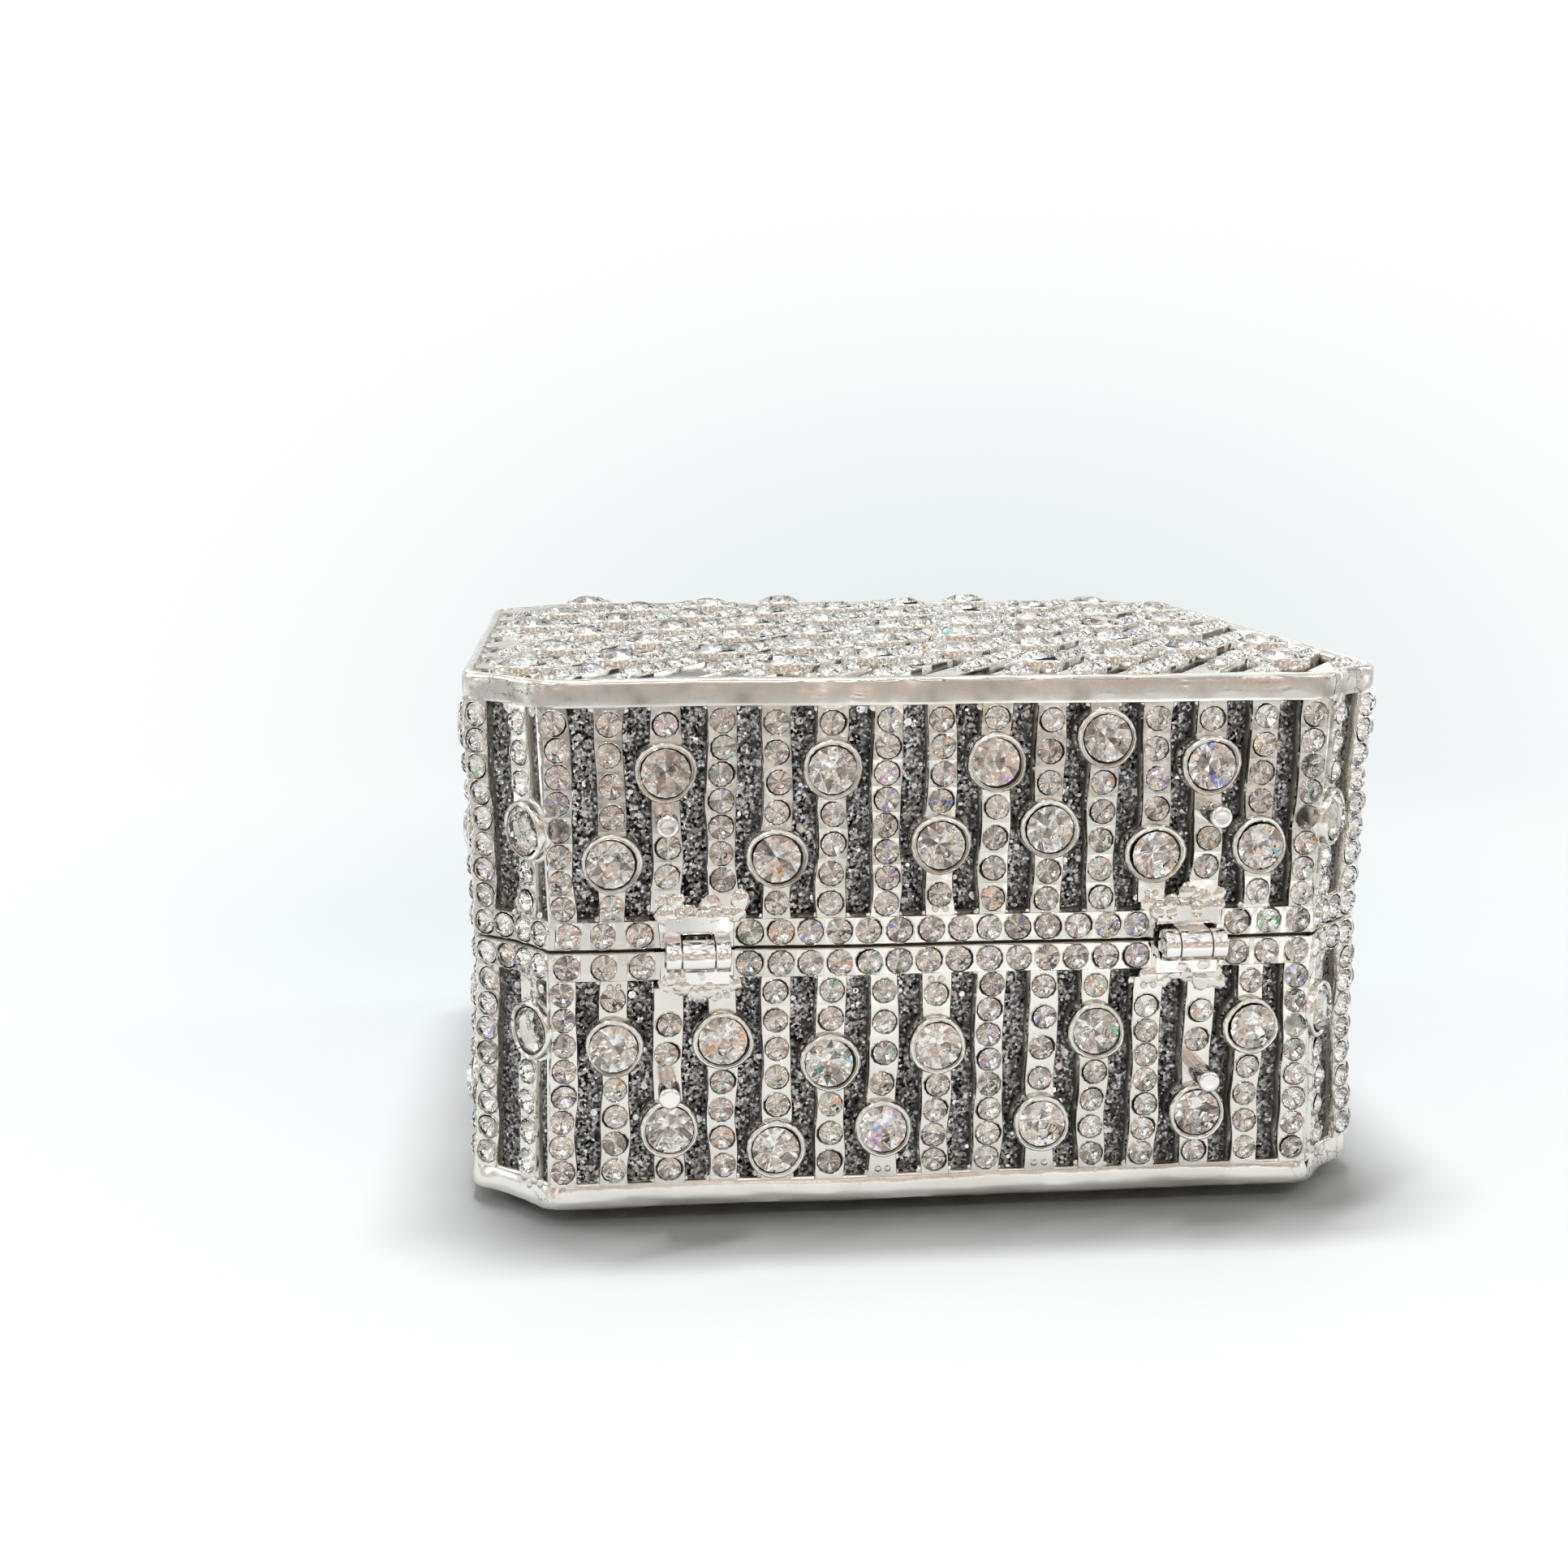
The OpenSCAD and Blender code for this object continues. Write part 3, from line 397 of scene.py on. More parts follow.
# %% Read the stones from the CAD nodes
def islands(node):
    """Place, outward direction and diameter in mm of every separate solid of a stone node."""
    mesh = NODES[node].data
    co = np.empty(len(mesh.vertices) * 3)
    mesh.vertices.foreach_get("co", co)
    co = co.reshape(-1, 3) / MM
    mesh.calc_loop_triangles()
    tris = np.empty(len(mesh.loop_triangles) * 3, int)
    mesh.loop_triangles.foreach_get("vertices", tris)
    keys, welded = np.unique(np.round(co, 3), axis=0, return_inverse=True)
    tris = welded.reshape(-1)[tris].reshape(-1, 3)
    label = np.arange(len(keys))
    while True:
        lowest = label[tris].min(axis=1)
        new = label.copy()
        for k in range(3):
            np.minimum.at(new, tris[:, k], lowest)
        new = new[new]
        if (new == label).all():
            break
        label = new
    normals = np.cross(keys[tris[:, 1]] - keys[tris[:, 0]], keys[tris[:, 2]] - keys[tris[:, 0]]) / 2
    groups = label[tris[:, 0]]
    found = []
    for g in np.unique(groups):
        mine = groups == g
        n, t = normals[mine], tris[mine]
        area = np.linalg.norm(n, axis=1)
        unit = n / np.maximum(area, 1e-12)[:, None]
        same = (unit @ unit.T > 0.999)
        back = same[(same @ area).argmax()]
        corners = keys[np.unique(t[back])]
        out = -(n[back].sum(axis=0))
        out /= np.linalg.norm(out)
        middle = (corners.min(axis=0) + corners.max(axis=0)) / 2
        found.append((*middle, *out, 2 * np.linalg.norm(corners - middle, axis=1).max()))
    return np.array(found)


STONES = {n: islands(n) for n in sorted(NODES) if n.endswith("_stones")}
print("stones:", {n: len(s) for n, s in STONES.items()}, "in all", sum(len(s) for s in STONES.values()))

# %% [markdown]
# ## Modelling tools
# Most parts of such a casting are closed solids whose outline changes in steps: a turned cup, a beam with a
# rounded edge, a seat with its lip. Each starts as a flat disc. Its top face is extruded again and again,
# and after each extrusion its corners go to their next places.

# %% Solids by repeated extrusion
def only_selected(obj):
    nothing_selected()
    bpy.context.view_layer.objects.active = obj
    obj.select_set(True)


def enter(obj, kind="VERT"):
    only_selected(obj)
    bpy.ops.object.mode_set(mode="EDIT")
    bpy.ops.mesh.select_mode(type=kind)


def leave():
    bpy.ops.object.mode_set(mode="OBJECT")


def leave_facing_out():
    bpy.ops.mesh.select_all(action="SELECT")
    bpy.ops.mesh.normals_make_consistent(inside=False)
    leave()


def circle(radius, height, count, shift=0.0):
    angles = 2 * math.pi * (np.arange(count) + shift) / count
    return np.stack([radius * np.cos(angles), radius * np.sin(angles), np.full(count, height)], axis=1)


def extruded(name, rings):
    """A closed solid whose corners run through these rings, from its bottom face to its last face."""
    count = len(rings[0])
    nothing_selected()
    bpy.ops.mesh.primitive_circle_add(vertices=count, radius=1, fill_type="NGON")
    obj = bpy.context.object
    obj.name = name
    enter(obj, "FACE")
    bpy.ops.mesh.select_all(action="SELECT")
    bm = bmesh.from_edit_mesh(obj.data)
    bm.faces.ensure_lookup_table()
    for vert, place in zip(bm.faces[0].verts, rings[0]):
        vert.co = place
    for before, after in zip(rings, rings[1:]):
        bpy.ops.mesh.extrude_region_move()
        bm = bmesh.from_edit_mesh(obj.data)
        for vert in [v for v in bm.verts if v.select]:
            nearest = np.linalg.norm(before - np.array(vert.co), axis=1).argmin()
            vert.co = after[nearest]
    bmesh.update_edit_mesh(obj.data)
    leave_facing_out()
    return obj


def turned(name, profile, count, shift=0.0):
    return extruded(name, [circle(r, h, count, shift) for r, h in profile])


def hollow(obj):
    """Join a solid's first and last face, the ones with many corners, so that it becomes a closed tube."""
    enter(obj, "FACE")
    bpy.ops.mesh.select_all(action="DESELECT")
    bm = bmesh.from_edit_mesh(obj.data)
    for face in bm.faces:
        face.select = len(face.verts) > 8
    bpy.ops.mesh.bridge_edge_loops()
    leave_facing_out()
    return obj


def shape_of(obj):
    """A modelled object's mesh as arrays, for copying. The model itself is then cleared away."""
    mesh = obj.data
    shape = {"co": np.array([v.co for v in mesh.vertices], float)}
    for key, owner, field, kind in (
        ("loops", mesh.loops, "vertex_index", int),
        ("totals", mesh.polygons, "loop_total", int),
        ("slots", mesh.polygons, "material_index", int),
        ("smooth", mesh.polygons, "use_smooth", bool),
    ):
        shape[key] = np.empty(len(owner), kind)
        owner.foreach_get(field, shape[key])
    bpy.data.objects.remove(obj)
    bpy.data.meshes.remove(mesh)
    return shape


# %% [markdown]
# Copies are gathered in a pile, which becomes one piece. A casting of this kind is never quite straight:
# a slow, small bend runs through the whole case, and carries bars, cups and stones along together.

# %% Gather copies
WAIST, WAIST_FROM, WAIST_FULL, WAIST_IN_DEPTH = 0.9, 35, 44, 0.6
SMOOTH_BELOW = math.radians(40)
# The waves that bend the case along x, y and z: each one's height in mm, its turns per mm, and its start.
BENDS = (
    ((0.13, (1 / 3.1, 0, 1 / 2.6), 1.3), (0.07, (-1 / 2.3, 1 / 6, 1 / 1.5), 0), (0.06, (1.7, 0, 0.9), 0)),
    ((0.06, (1 / 9, 1 / 3.3, 1 / 2.9), 0), (0.04, (1 / 3.9, 0, 0), 0.7)),
    ((0.05, (1 / 5.1, 0, 0), 0.4), (0.03, (1 / 7.7, 1 / 4.3, 0), 2.0)),
)


def uneven(p):
    """How far the casting is off at these places, in mm. Its sides also lean in to the seam."""
    off = np.column_stack([
        sum(height * np.sin(p @ np.array(turns) + start) for height, turns, start in waves)
        for waves in BENDS])
    x, y, z = p.T
    near_side = np.clip((abs(x) - WAIST_FROM) / (WAIST_FULL - WAIST_FROM), 0, 1)
    near_seam = np.clip(1 - abs(z - case_bottom - SHELL_H) / SHELL_H, 0, 1)
    lean = WAIST * near_side * near_seam * (2 - near_seam)
    off[:, 0] -= lean * np.sign(x)
    off[:, 1] -= WAIST_IN_DEPTH * lean * (y / half_d) ** 3
    return off


def through(matrix, points):
    m = np.array(matrix)
    return points @ m[:3, :3].T + m[:3, 3]


def finish_piece(obj, body, stands_for):
    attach(obj, body)
    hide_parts(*stands_for)
    print("made", obj.name, "faces", len(obj.data.polygons), "for", len(stands_for), "nodes")


class Pile:
    """Copies of modelled shapes, in mm, that together make one piece."""

    # The scale sets how much painted shade the low parts of each copy get.
    def __init__(self, shade_scale=1.0):
        self.rows = []
        self.shade_scale = shade_scale

    def add(self, shape, matrix, local=None, bent=True, marks=None):
        """Lay a copy at this matrix. Its lowest parts, and those given painted shade, are marked as deep."""
        local = shape["co"] if local is None else local
        co = through(matrix, local)
        # The depth mark is where the finish paints shade: low parts, and the shape's own painted shade.
        depth = self.shade_scale * np.clip(-local[:, 2], 0, None) / 2 + shape.get("painted_shade", 0)
        if bent:
            co = co + uneven(co)
        self.rows.append((shape, co, matrix.to_3x3().determinant() < 0, marks, depth))

    def make(self, name, body, stands_for, slot, materials, rounded=True):
        """One mesh of all the copies. A mirrored copy has the corners of its faces turned round."""
        keys = ("loops", "starts", "totals", "slots", "smooth", "co", "depth", "marks")
        parts = {key: [] for key in keys}
        base = corner = 0
        for shape, places, flipped, marks, depth in self.rows:
            begin = np.cumsum(shape["totals"]) - shape["totals"]
            order = shape["loops"]
            if flipped:
                owner = np.repeat(np.arange(len(begin)), shape["totals"])
                local = np.arange(len(order)) - begin[owner]
                order = order[begin[owner] + shape["totals"][owner] - 1 - local]
            marks = np.ones((len(begin), 4)) if marks is None else marks
            row = (order + base, begin + corner, shape["totals"], shape["slots"], shape["smooth"], places,
                   depth, marks)
            for key, values in zip(keys, row):
                parts[key].append(values)
            base += len(places)
            corner += len(order)
        joined = {key: np.concatenate(values) for key, values in parts.items()}
        mesh = bpy.data.meshes.new(name)
        mesh.vertices.add(base)
        mesh.loops.add(corner)
        mesh.polygons.add(len(joined["totals"]))
        for owner, field, values in (
            (mesh.vertices, "co", (joined["co"] * MM).ravel()),
            (mesh.loops, "vertex_index", joined["loops"]),
            (mesh.polygons, "loop_start", joined["starts"]),
            (mesh.polygons, "loop_total", joined["totals"]),
            (mesh.polygons, "material_index", joined["slots"]),
            (mesh.polygons, "use_smooth", joined["smooth"]),
        ):
            owner.foreach_set(field, values)
        mesh.update(calc_edges=True)
        mesh.attributes.new("depth", "FLOAT", "POINT").data.foreach_set("value", joined["depth"])
        if any(marks is not None for _, _, _, marks, _ in self.rows):
            colours = np.repeat(joined["marks"], joined["totals"], axis=0).ravel()
            mesh.color_attributes.new("mark", "FLOAT_COLOR", "CORNER").data.foreach_set("color", colours)
        mesh.validate()
        obj = new_object(name, mesh)
        for material in materials:
            mesh.materials.append(material)
        if rounded:
            only_selected(obj)
            bpy.ops.object.shade_smooth_by_angle(angle=SMOOTH_BELOW)
        finish_piece(obj, body, stands_for)
        return obj


# %% [markdown]
# ## The finishes
# Everything cast is silver plated: a mirror that's never flat, with a skin that ripples, a few pores, dull
# spots, and painted shade in the depths. The skin is built once as a group and serves castings and fittings.

# %% Shared skin of plated metal
BROAD_SCALE, RIPPLE_SCALE, GRAIN_SCALE, PORE_SCALE, CRACK_SCALE = 90.0, 330.0, 2600.0, 900.0, 420.0
WARM_PATCHES, SHADE_REACH = greys((0.42, 0), (0.62, 1)), greys((0.12, 0), (0.40, 1))
CRACK_LINE, CRACK_PATCHES = greys((0.0, 1), (0.035, 0)), greys((0.40, 0), (0.5, 1))
CRACK_WANDER = 0.0012
# The colour of the painted shade in the depths, which the brazed cracks share.
SHADE_CRACK_COLOUR = (0.20, 0.175, 0.16, 1)
FLOAT, COLOUR = "NodeSocketFloat", "NodeSocketColor"


def group_with(name, ins, outs):
    tree = bpy.data.node_groups.new(name, "ShaderNodeTree")
    for socket_name, kind, value in ins:
        socket = tree.interface.new_socket(socket_name, in_out="INPUT", socket_type=kind)
        if value is not None:
            socket.default_value = value
    for socket_name, kind in outs:
        tree.interface.new_socket(socket_name, in_out="OUTPUT", socket_type=kind)
    return tree, tree.nodes.new("NodeGroupInput").outputs, tree.nodes.new("NodeGroupOutput")


def plated_skin():
    tree, given, out = group_with("plated_skin", [
        ("Vector", "NodeSocketVector", None), ("Depth", FLOAT, 0.0), ("Ripple", FLOAT, 1.0),
        ("Wear", FLOAT, 1.0), ("Brazed", FLOAT, 0.0), ("Silver", COLOUR, WHITE), ("Warm", COLOUR, WHITE),
    ], [("Color", COLOUR), ("Roughness", FLOAT), ("Height", FLOAT)])
    place = given["Vector"]
    broad = noise(tree, place, BROAD_SCALE, 2.0)["Fac"]
    ripple = noise(tree, place, RIPPLE_SCALE, 1.5)["Fac"]
    grain = noise(tree, place, GRAIN_SCALE, 4.0)
    base = mixed(tree, ramp(tree, broad, WARM_PATCHES), given["Silver"], given["Warm"])
    wander = vectors(tree, "MULTIPLY_ADD", grain["Color"], grey(CRACK_WANDER), place)
    edges = cells(tree, wander, CRACK_SCALE, "DISTANCE_TO_EDGE")["Distance"]
    crack = sums(tree, "MULTIPLY", ramp(tree, edges, CRACK_LINE), ramp(tree, broad, CRACK_PATCHES))
    crack = sums(tree, "MULTIPLY", crack, given["Brazed"])
    # Painted shade: dark where the Depth input is high, broken up by the ripple, then joined by the brazed
    # cracks.
    shade_and_crack = ramp(tree, sums(tree, "MULTIPLY", given["Depth"], ripple), SHADE_REACH)
    shade_and_crack = sums(tree, "MAXIMUM", shade_and_crack, crack)
    dull = mapped(tree, grain["Fac"], 0.45, 0.8, 0.06, 0.22)
    pores = mapped(tree, cells(tree, place, PORE_SCALE)["Distance"], 0.0, 0.16, -0.5, 0.0)
    waves = sums(tree, "MULTIPLY", ripple, given["Ripple"])
    waves = sums(tree, "MULTIPLY_ADD", grain["Fac"], 0.02, waves)
    feed(tree, out, {
        "Color": mixed(tree, shade_and_crack, base, SHADE_CRACK_COLOUR),
        "Roughness": sums(tree, "ADD", dull, shade_and_crack, clamped=True),
        "Height": sums(tree, "ADD", waves, sums(tree, "MULTIPLY", pores, given["Wear"])),
    })
    return tree


SKIN = plated_skin()
print("group:", SKIN.name)

# %% Materials of the castings and fittings
CORNER_X, CORNER_Y, CORNER_SOFT = 0.0405, 0.0345, 0.0035
SKIN_RELIEF = 0.00012


def near_corners(tree, place):
    """1 at the four stepped corners, where the panels are brazed together, and 0 elsewhere."""
    parts = add_node(tree, "SeparateXYZ", {0: vectors(tree, "ABSOLUTE", place)}).outputs
    return sums(tree, "MULTIPLY", *(mapped(tree, parts[axis], edge, edge + CORNER_SOFT)
                                    for axis, edge in (("X", CORNER_X), ("Y", CORNER_Y))))


def plated(name, ripple, wear, silver, warm, bump, has_depth):
    material, tree, shader, _ = new_material(name)
    place = object_place(tree)
    skin = add_node(tree, "Group", node_tree=SKIN)
    feed(tree, skin, {"Vector": place, "Ripple": ripple, "Wear": wear, "Silver": silver, "Warm": warm})
    # The depth mark gives the painted shade, and the stepped corners give the brazed cracks.
    if has_depth:
        depth = add_node(tree, "Attribute", attribute_name="depth").outputs["Fac"]
        feed(tree, skin, {"Depth": depth, "Brazed": near_corners(tree, place)})
    relief = add_node(tree, "Bump", {
        "Strength": bump, "Distance": SKIN_RELIEF, "Height": skin.outputs["Height"]})
    feed(tree, shader, {"Base Color": skin.outputs["Color"], "Roughness": skin.outputs["Roughness"],
                        "Metallic": 1.0, "Normal": relief.outputs["Normal"]})
    return material


CAST = plated("cast_silver_plate", 1.0, 0.15, (0.785, 0.765, 0.725, 1), (0.72, 0.69, 0.64, 1), 0.6, True)
POLISHED = plated("polished_silver_plate", 0.25, 0.05, (0.88, 0.87, 0.85, 1), (0.84, 0.80, 0.78, 1), 0.35,
                  False)

# %% [markdown]
# A stone is clear glass on a silver foil. The foil is the lower half of each stone: a mirror in facets. Each
# facet's colour is painted white, pale, pinkish, grey or dark, as painted reflection and shade, and a few
# facets carry painted coloured fire, as light that passes through cut glass is split a little. The loose
# flakes of the glitter further down are the same foil, a little duller.

# %% Materials of the stones
GLASS_BODY, GLASS_IOR = (0.99, 0.98, 0.955, 1), 1.52
FINGER_FILM = (0.5, 0.8, 0.0, 0.05)


def glass():
    material, tree, shader, _ = new_material("clear_crystal")
    film = mapped(tree, noise(tree, object_place(tree), 900.0, 3.0)["Fac"], *FINGER_FILM)
    feed(tree, shader, {"Base Color": GLASS_BODY, "Transmission Weight": 1.0, "IOR": GLASS_IOR,
                        "Roughness": film})
    return material


def marked_foil(name, haze_scale, haze, roughness):
    """A mirror coloured by each facet's mark, under a slight haze: painted light on stones, own grey on
    flakes.
    """
    material, tree, shader, _ = new_material(name)
    mark = add_node(tree, "Attribute", attribute_name="mark").outputs["Color"]
    shade = ramp(tree, noise(tree, object_place(tree), haze_scale, 2.0)["Fac"], haze)
    feed(tree, shader, {"Base Color": mixed(tree, 1.0, mark, shade, "MULTIPLY"),
                        "Metallic": 1.0, "Roughness": roughness})
    return material


GLASS = glass()
FOIL = marked_foil("silver_foil", 2400.0, greys((0.35, 0.86), (0.65, 1.0)), 0.04)
print("foil and glass:", FOIL.name, GLASS.name)

# %% [markdown]
# ## The casting's building blocks
# A bar is a row of seats. Each seat is a short block with rounded long edges and a round pit for its stone,
# with a thin lip around it. Between seats that stand far apart the bar is plain. A cup is turned.

# %% Seat, plain run, cup and lump
RNG = np.random.default_rng(7)
SEAT_SIDES, CUP_SIDES, LUMP_SIDES = 12, 20, 8
BAR_HALF = BAR_W / 2 + 0.15
BAR_ROOT = -2.1
EDGE = 0.08
MITRE = 0.5
BLOCK_LEVELS = (BAR_ROOT, 0.08, 0.18)
# The first value is how dark the painted shade in pits and hollows is.
SHADE_STRENGTH, SEAT_PIT, CUP_PIT = 0.8, 1.38, 2.72


def on_square(half_u, half_v, height, count):
    ring = circle(1.0, height, count, 0.5)
    ring[:, :2] /= abs(ring[:, :2]).max(axis=1, keepdims=True)
    return ring * (half_u, half_v, 1)


def block_rings(count):
    return [on_square(BAR_HALF - inset, BAR_HALF, height, count)
            for inset, height in zip((0, 0, EDGE), BLOCK_LEVELS)]


def shade_within(shape, radius, low, high):
    """Painted shade on what lies within this radius and between these heights."""
    co = shape["co"]
    return SHADE_STRENGTH * (np.hypot(co[:, 0], co[:, 1]) < radius) * (co[:, 2] > low) * (co[:, 2] < high)


SEAT = shape_of(extruded("seat", block_rings(SEAT_SIDES) + [
    circle(r, h, SEAT_SIDES, 0.5) for r, h in
    ((1.50, 0.17), (1.47, 0.26), (1.43, 0.30), (1.39, 0.27), (1.36, 0.05), (1.1, -1.0))]))
BLOCK = shape_of(extruded("plain_run", block_rings(4)))
CUP = shape_of(turned("cup", (
    (3.3, -2.0), (3.34, 0.0), (3.31, 0.78), (3.24, 0.98), (3.1, 1.09), (2.95, 1.07), (2.87, 0.96),
    (2.80, 1.0), (2.70, 0.9), (2.64, 0.4), (2.1, -1.5)), CUP_SIDES))
# Painted shade in a seat's pit around its stone, and in a cup's hollow under its stone.
SEAT["painted_shade"] = shade_within(SEAT, SEAT_PIT, BAR_ROOT + 0.1, math.inf)
CUP["painted_shade"] = shade_within(CUP, CUP_PIT, -math.inf, 0.95)
LUMP = shape_of(turned("lump", (
    (0.05, -0.95), (0.55, -0.75), (0.9, -0.3), (1.0, 0.0), (0.88, 0.4), (0.55, 0.75), (0.15, 0.92)),
    LUMP_SIDES))
BEAD = shape_of(turned("bead", ((0.36, -0.5), (0.38, 0.1), (0.30, 0.28), (0.12, 0.38)), LUMP_SIDES))


def in_block(co):
    """Which corners belong to the block itself, not to the pit and its lip."""
    return np.isclose(co[:, 2:], BLOCK_LEVELS, atol=1e-4).any(axis=1)


def stretched(shape, low_u, high_u, low_v, high_v, mitre=(0, 0)):
    """A seat or a plain run whose outer corners lie on these four sides, its pit left as it is.

    Where two walls meet at a corner, mitre draws the root in on the side that it names."""
    co = shape["co"].copy()
    rim = in_block(co)
    for axis, low, high in ((0, low_u, high_u), (1, low_v, high_v)):
        share = co[rim, axis] / BAR_HALF
        co[rim, axis] = np.where(share > 0, share * high, -share * low)
        if mitre[axis]:
            edge = (co[:, 2] < BAR_ROOT / 2) & (np.sign(co[:, axis]) == mitre[axis])
            co[edge, axis] += mitre[axis] * BAR_ROOT * MITRE
    return co


print("faces of seat, plain run, cup:", len(SEAT["totals"]), len(BLOCK["totals"]), len(CUP["totals"]))

# %% Bars
SEAT_REACH = 1.55
SEAM_SEAT, SEAM_LIFT = 1.06, 0.05
CUP_END = 2.72
SHORTEST = 0.3
RAISED, SINK, RISE, WANDER = 0.2, -0.02, 0.05, 0.015
LUMP_ROUGH = (0.86, 1.14)
SURFACE, SQUARE_ON = 0.3, 0.99
LIP_ABOVE, LIP_WAVE, LIP_SINK, LIP_RISE = 0.6, 0.04, -0.03, 0.04


def cut_bar(low, high, stones, cups):
    """The runs of a bar between its cups: from, to, and the place of the stone in it, or None."""
    ends = [low] + [c + side * CUP_END for c in sorted(cups) for side in (-1, 1)] + [high]
    runs = []
    for start, end in zip(ends[::2], ends[1::2]):
        at = start
        mine = sorted(s for s in stones if start < s < end)
        for stone, following in zip(mine, mine[1:] + [None]):
            first = stone - SEAT_REACH if stone - SEAT_REACH - at > SHORTEST else at
            if first > at:
                runs.append((at, first, None))
            limit = end if following is None else (stone + following) / 2
            last = stone + SEAT_REACH if limit - stone - SEAT_REACH > SHORTEST else limit
            runs.append((first, last, stone))
            at = last
        if end - at > SHORTEST / 3:
            runs.append((at, end, None))
    return runs


def add_bar(pile, m, u, sides, low, high, stones, cups=(), lift=0.0, seat_size=1.0, mitre=0,
            end_mitre=(0, 0)):
    """One bar of a drawing, centred on its stones at u, from low to high along v."""
    for start, end, stone in cut_bar(low, high, stones, cups):
        middle = (start + end) / 2 if stone is None else stone
        shape = BLOCK if stone is None else SEAT
        at_end = end_mitre[0] * (start == low) or end_mitre[1] * (end == high)
        co = stretched(shape, sides[0], sides[1], start - middle, end - middle, (mitre, at_end))
        co[~in_block(co), :2] *= seat_size
        raised = co[:, 2] > RAISED
        co[raised, 2] += RNG.uniform(SINK, RISE)
        co[raised, :2] += RNG.normal(0, WANDER, (raised.sum(), 2))
        pile.add(shape, m @ Matrix.Translation((u, middle, lift)), co)


def local_stones(m, nodes):
    """Stones of these nodes that lie on this drawing: u, v and diameter."""
    inverse = np.array(m.inverted())
    rows = np.concatenate([STONES[n] for n in nodes])
    places = rows[:, :3] @ inverse[:3, :3].T + inverse[:3, 3]
    outward = rows[:, 3:6] @ inverse[:3, :3].T
    here = (abs(places[:, 2]) < SURFACE) & (outward[:, 2] > SQUARE_ON)
    return np.stack([places[here, 0], places[here, 1], rows[here, 6]], axis=1)


def on_line(rows, u, large):
    """Places along v of the large or the small stones whose middle lies within 1 mm of u."""
    return [v for x, v, d in rows if abs(x - u) < 1 and (d > LARGE_R + SMALL_R) == large]


def add_cup(pile, m, u, v):
    co = CUP["co"].copy()
    lip = co[:, 2] > LIP_ABOVE
    wave = np.sin(np.arctan2(co[lip, 1], co[lip, 0]) * 3 + RNG.uniform(0, 6))
    co[lip, 2] += LIP_WAVE * wave + RNG.uniform(LIP_SINK, LIP_RISE)
    spin = Matrix.Rotation(RNG.uniform(0, 1), 4, "Z")
    pile.add(CUP, m @ Matrix.Translation((u, v, 0)) @ spin, co)


def add_lump(pile, m, u, v, size, height, lift=0.0):
    co = LUMP["co"] * (1, 1, height) * size * RNG.uniform(*LUMP_ROUGH, (len(LUMP["co"]), 1))
    spin = Matrix.Rotation(RNG.uniform(0, 6), 4, "Z")
    pile.add(LUMP, m @ Matrix.Translation((u, v, lift)) @ spin, co)


# %% [markdown]
# ## The walls
# On each wall upright bars stand between a thin rim strip and the band of stones along the seam. The end
# bars belong to the corners. Where a hinge is brazed on, the band widens to a plain pad with solder on it.

# %% Wall pieces
CONVEX = 0.09
BARS_LOW, BARS_HIGH = RIM_STRIP / 2, slot_high + RIM_STRIP / 2
HALF_SPAN = {"front": flat_end, "rear": flat_end, "right": side_end, "left": side_end}
PAD_DOWN, NOTCH_DOWN, CLASP_DOWN, CLASP_HALF = 4.55, 1.75, 6.6, 5.56
HINGE_HALF = (hinge_high.x - hinge_low.x) / 2 / MM
HINGES = {side: sum(corner.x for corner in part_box(f"{side}_hinge_pin")) / 2 / MM
          for side in ("left", "right")}
PAD_HALF = HINGE_HALF + RIM_STRIP
PAD_LOW = wall_h + SEAM_GAP / 2 - PAD_DOWN
NOTCH_LOW = wall_h - NOTCH_DOWN
MIDDLE_KNUCKLE, KNUCKLE_GAP = 1.7, 0.12
CLASP_ROW = wall_h + SEAM_GAP / 2 - CLASP_DOWN
CLASP_LOW = CLASP_ROW - CLASP_HALF
CLASP_SIDES, COLLAR_R, SLEEVE_R, COLLAR_GAP = 24, 5.03, 4.2, 0.06
LOW_STONES = seam_row - SEAM_BAND / 2
LUMP_CHANCE, LUMP_ASIDE, LUMP_OFF, LUMP_SIZE, LUMP_SUNK = 0.45, 1.2, 3.3, 0.5, -0.05
BEAD_CHANCE, BEAD_ROOM, BEAD_ASIDE, BEAD_IN, BEAD_UP, CUP_ROOM = 0.75, 2.1, 0.52, 0.95, 0.2, 1.3
FILLET_CHANCE, FILLET_SIZE, FILLET_HEIGHT, FILLET_SUNK = 0.8, (0.35, 0.62), 0.8, -0.4
FILLET_IN, FILLET_STRAY = (0.35, 0.25), 0.1
PAD_LIFT, PAD_ROOM, TUCKED = 0.02, 0.5, 0.3
# Solder at a hinge: wide flat drops along the pad's lower edge, and smaller ones heaped on the leaf's foot.
DROPS, DROP_ASIDE, DROP_UP, DROP_SIZE, DROP_HEIGHT = 11, 4.4, (-0.8, 0.9), (0.75, 1.35), (0.35, 0.55)
HEAPED, HEAP_ASIDE, HEAP_UP, HEAP_SIZE, HEAP_HEIGHT = 12, 3.5, (0.6, 1.9), (0.6, 1.1), (0.35, 0.6)
HEAP_LIFT = (0.35, 0.7)


def nodes_of(shell, face):
    kind = "side" if face in ("left", "right") else face
    return [f"{shell}_{stones}_stones" for stones in (f"{kind}_large", f"{kind}_small", "corner", "seam")]


def bar_lines(face):
    span = 2 * HALF_SPAN[face]
    count = round((span - BAR_W) / BAR_PITCH)
    step = (span - BAR_W) / count
    return [-span / 2 + BAR_W / 2 + k * step for k in range(count + 1)]


def below_band(rows):
    return [row for row in rows if row[1] < LOW_STONES]


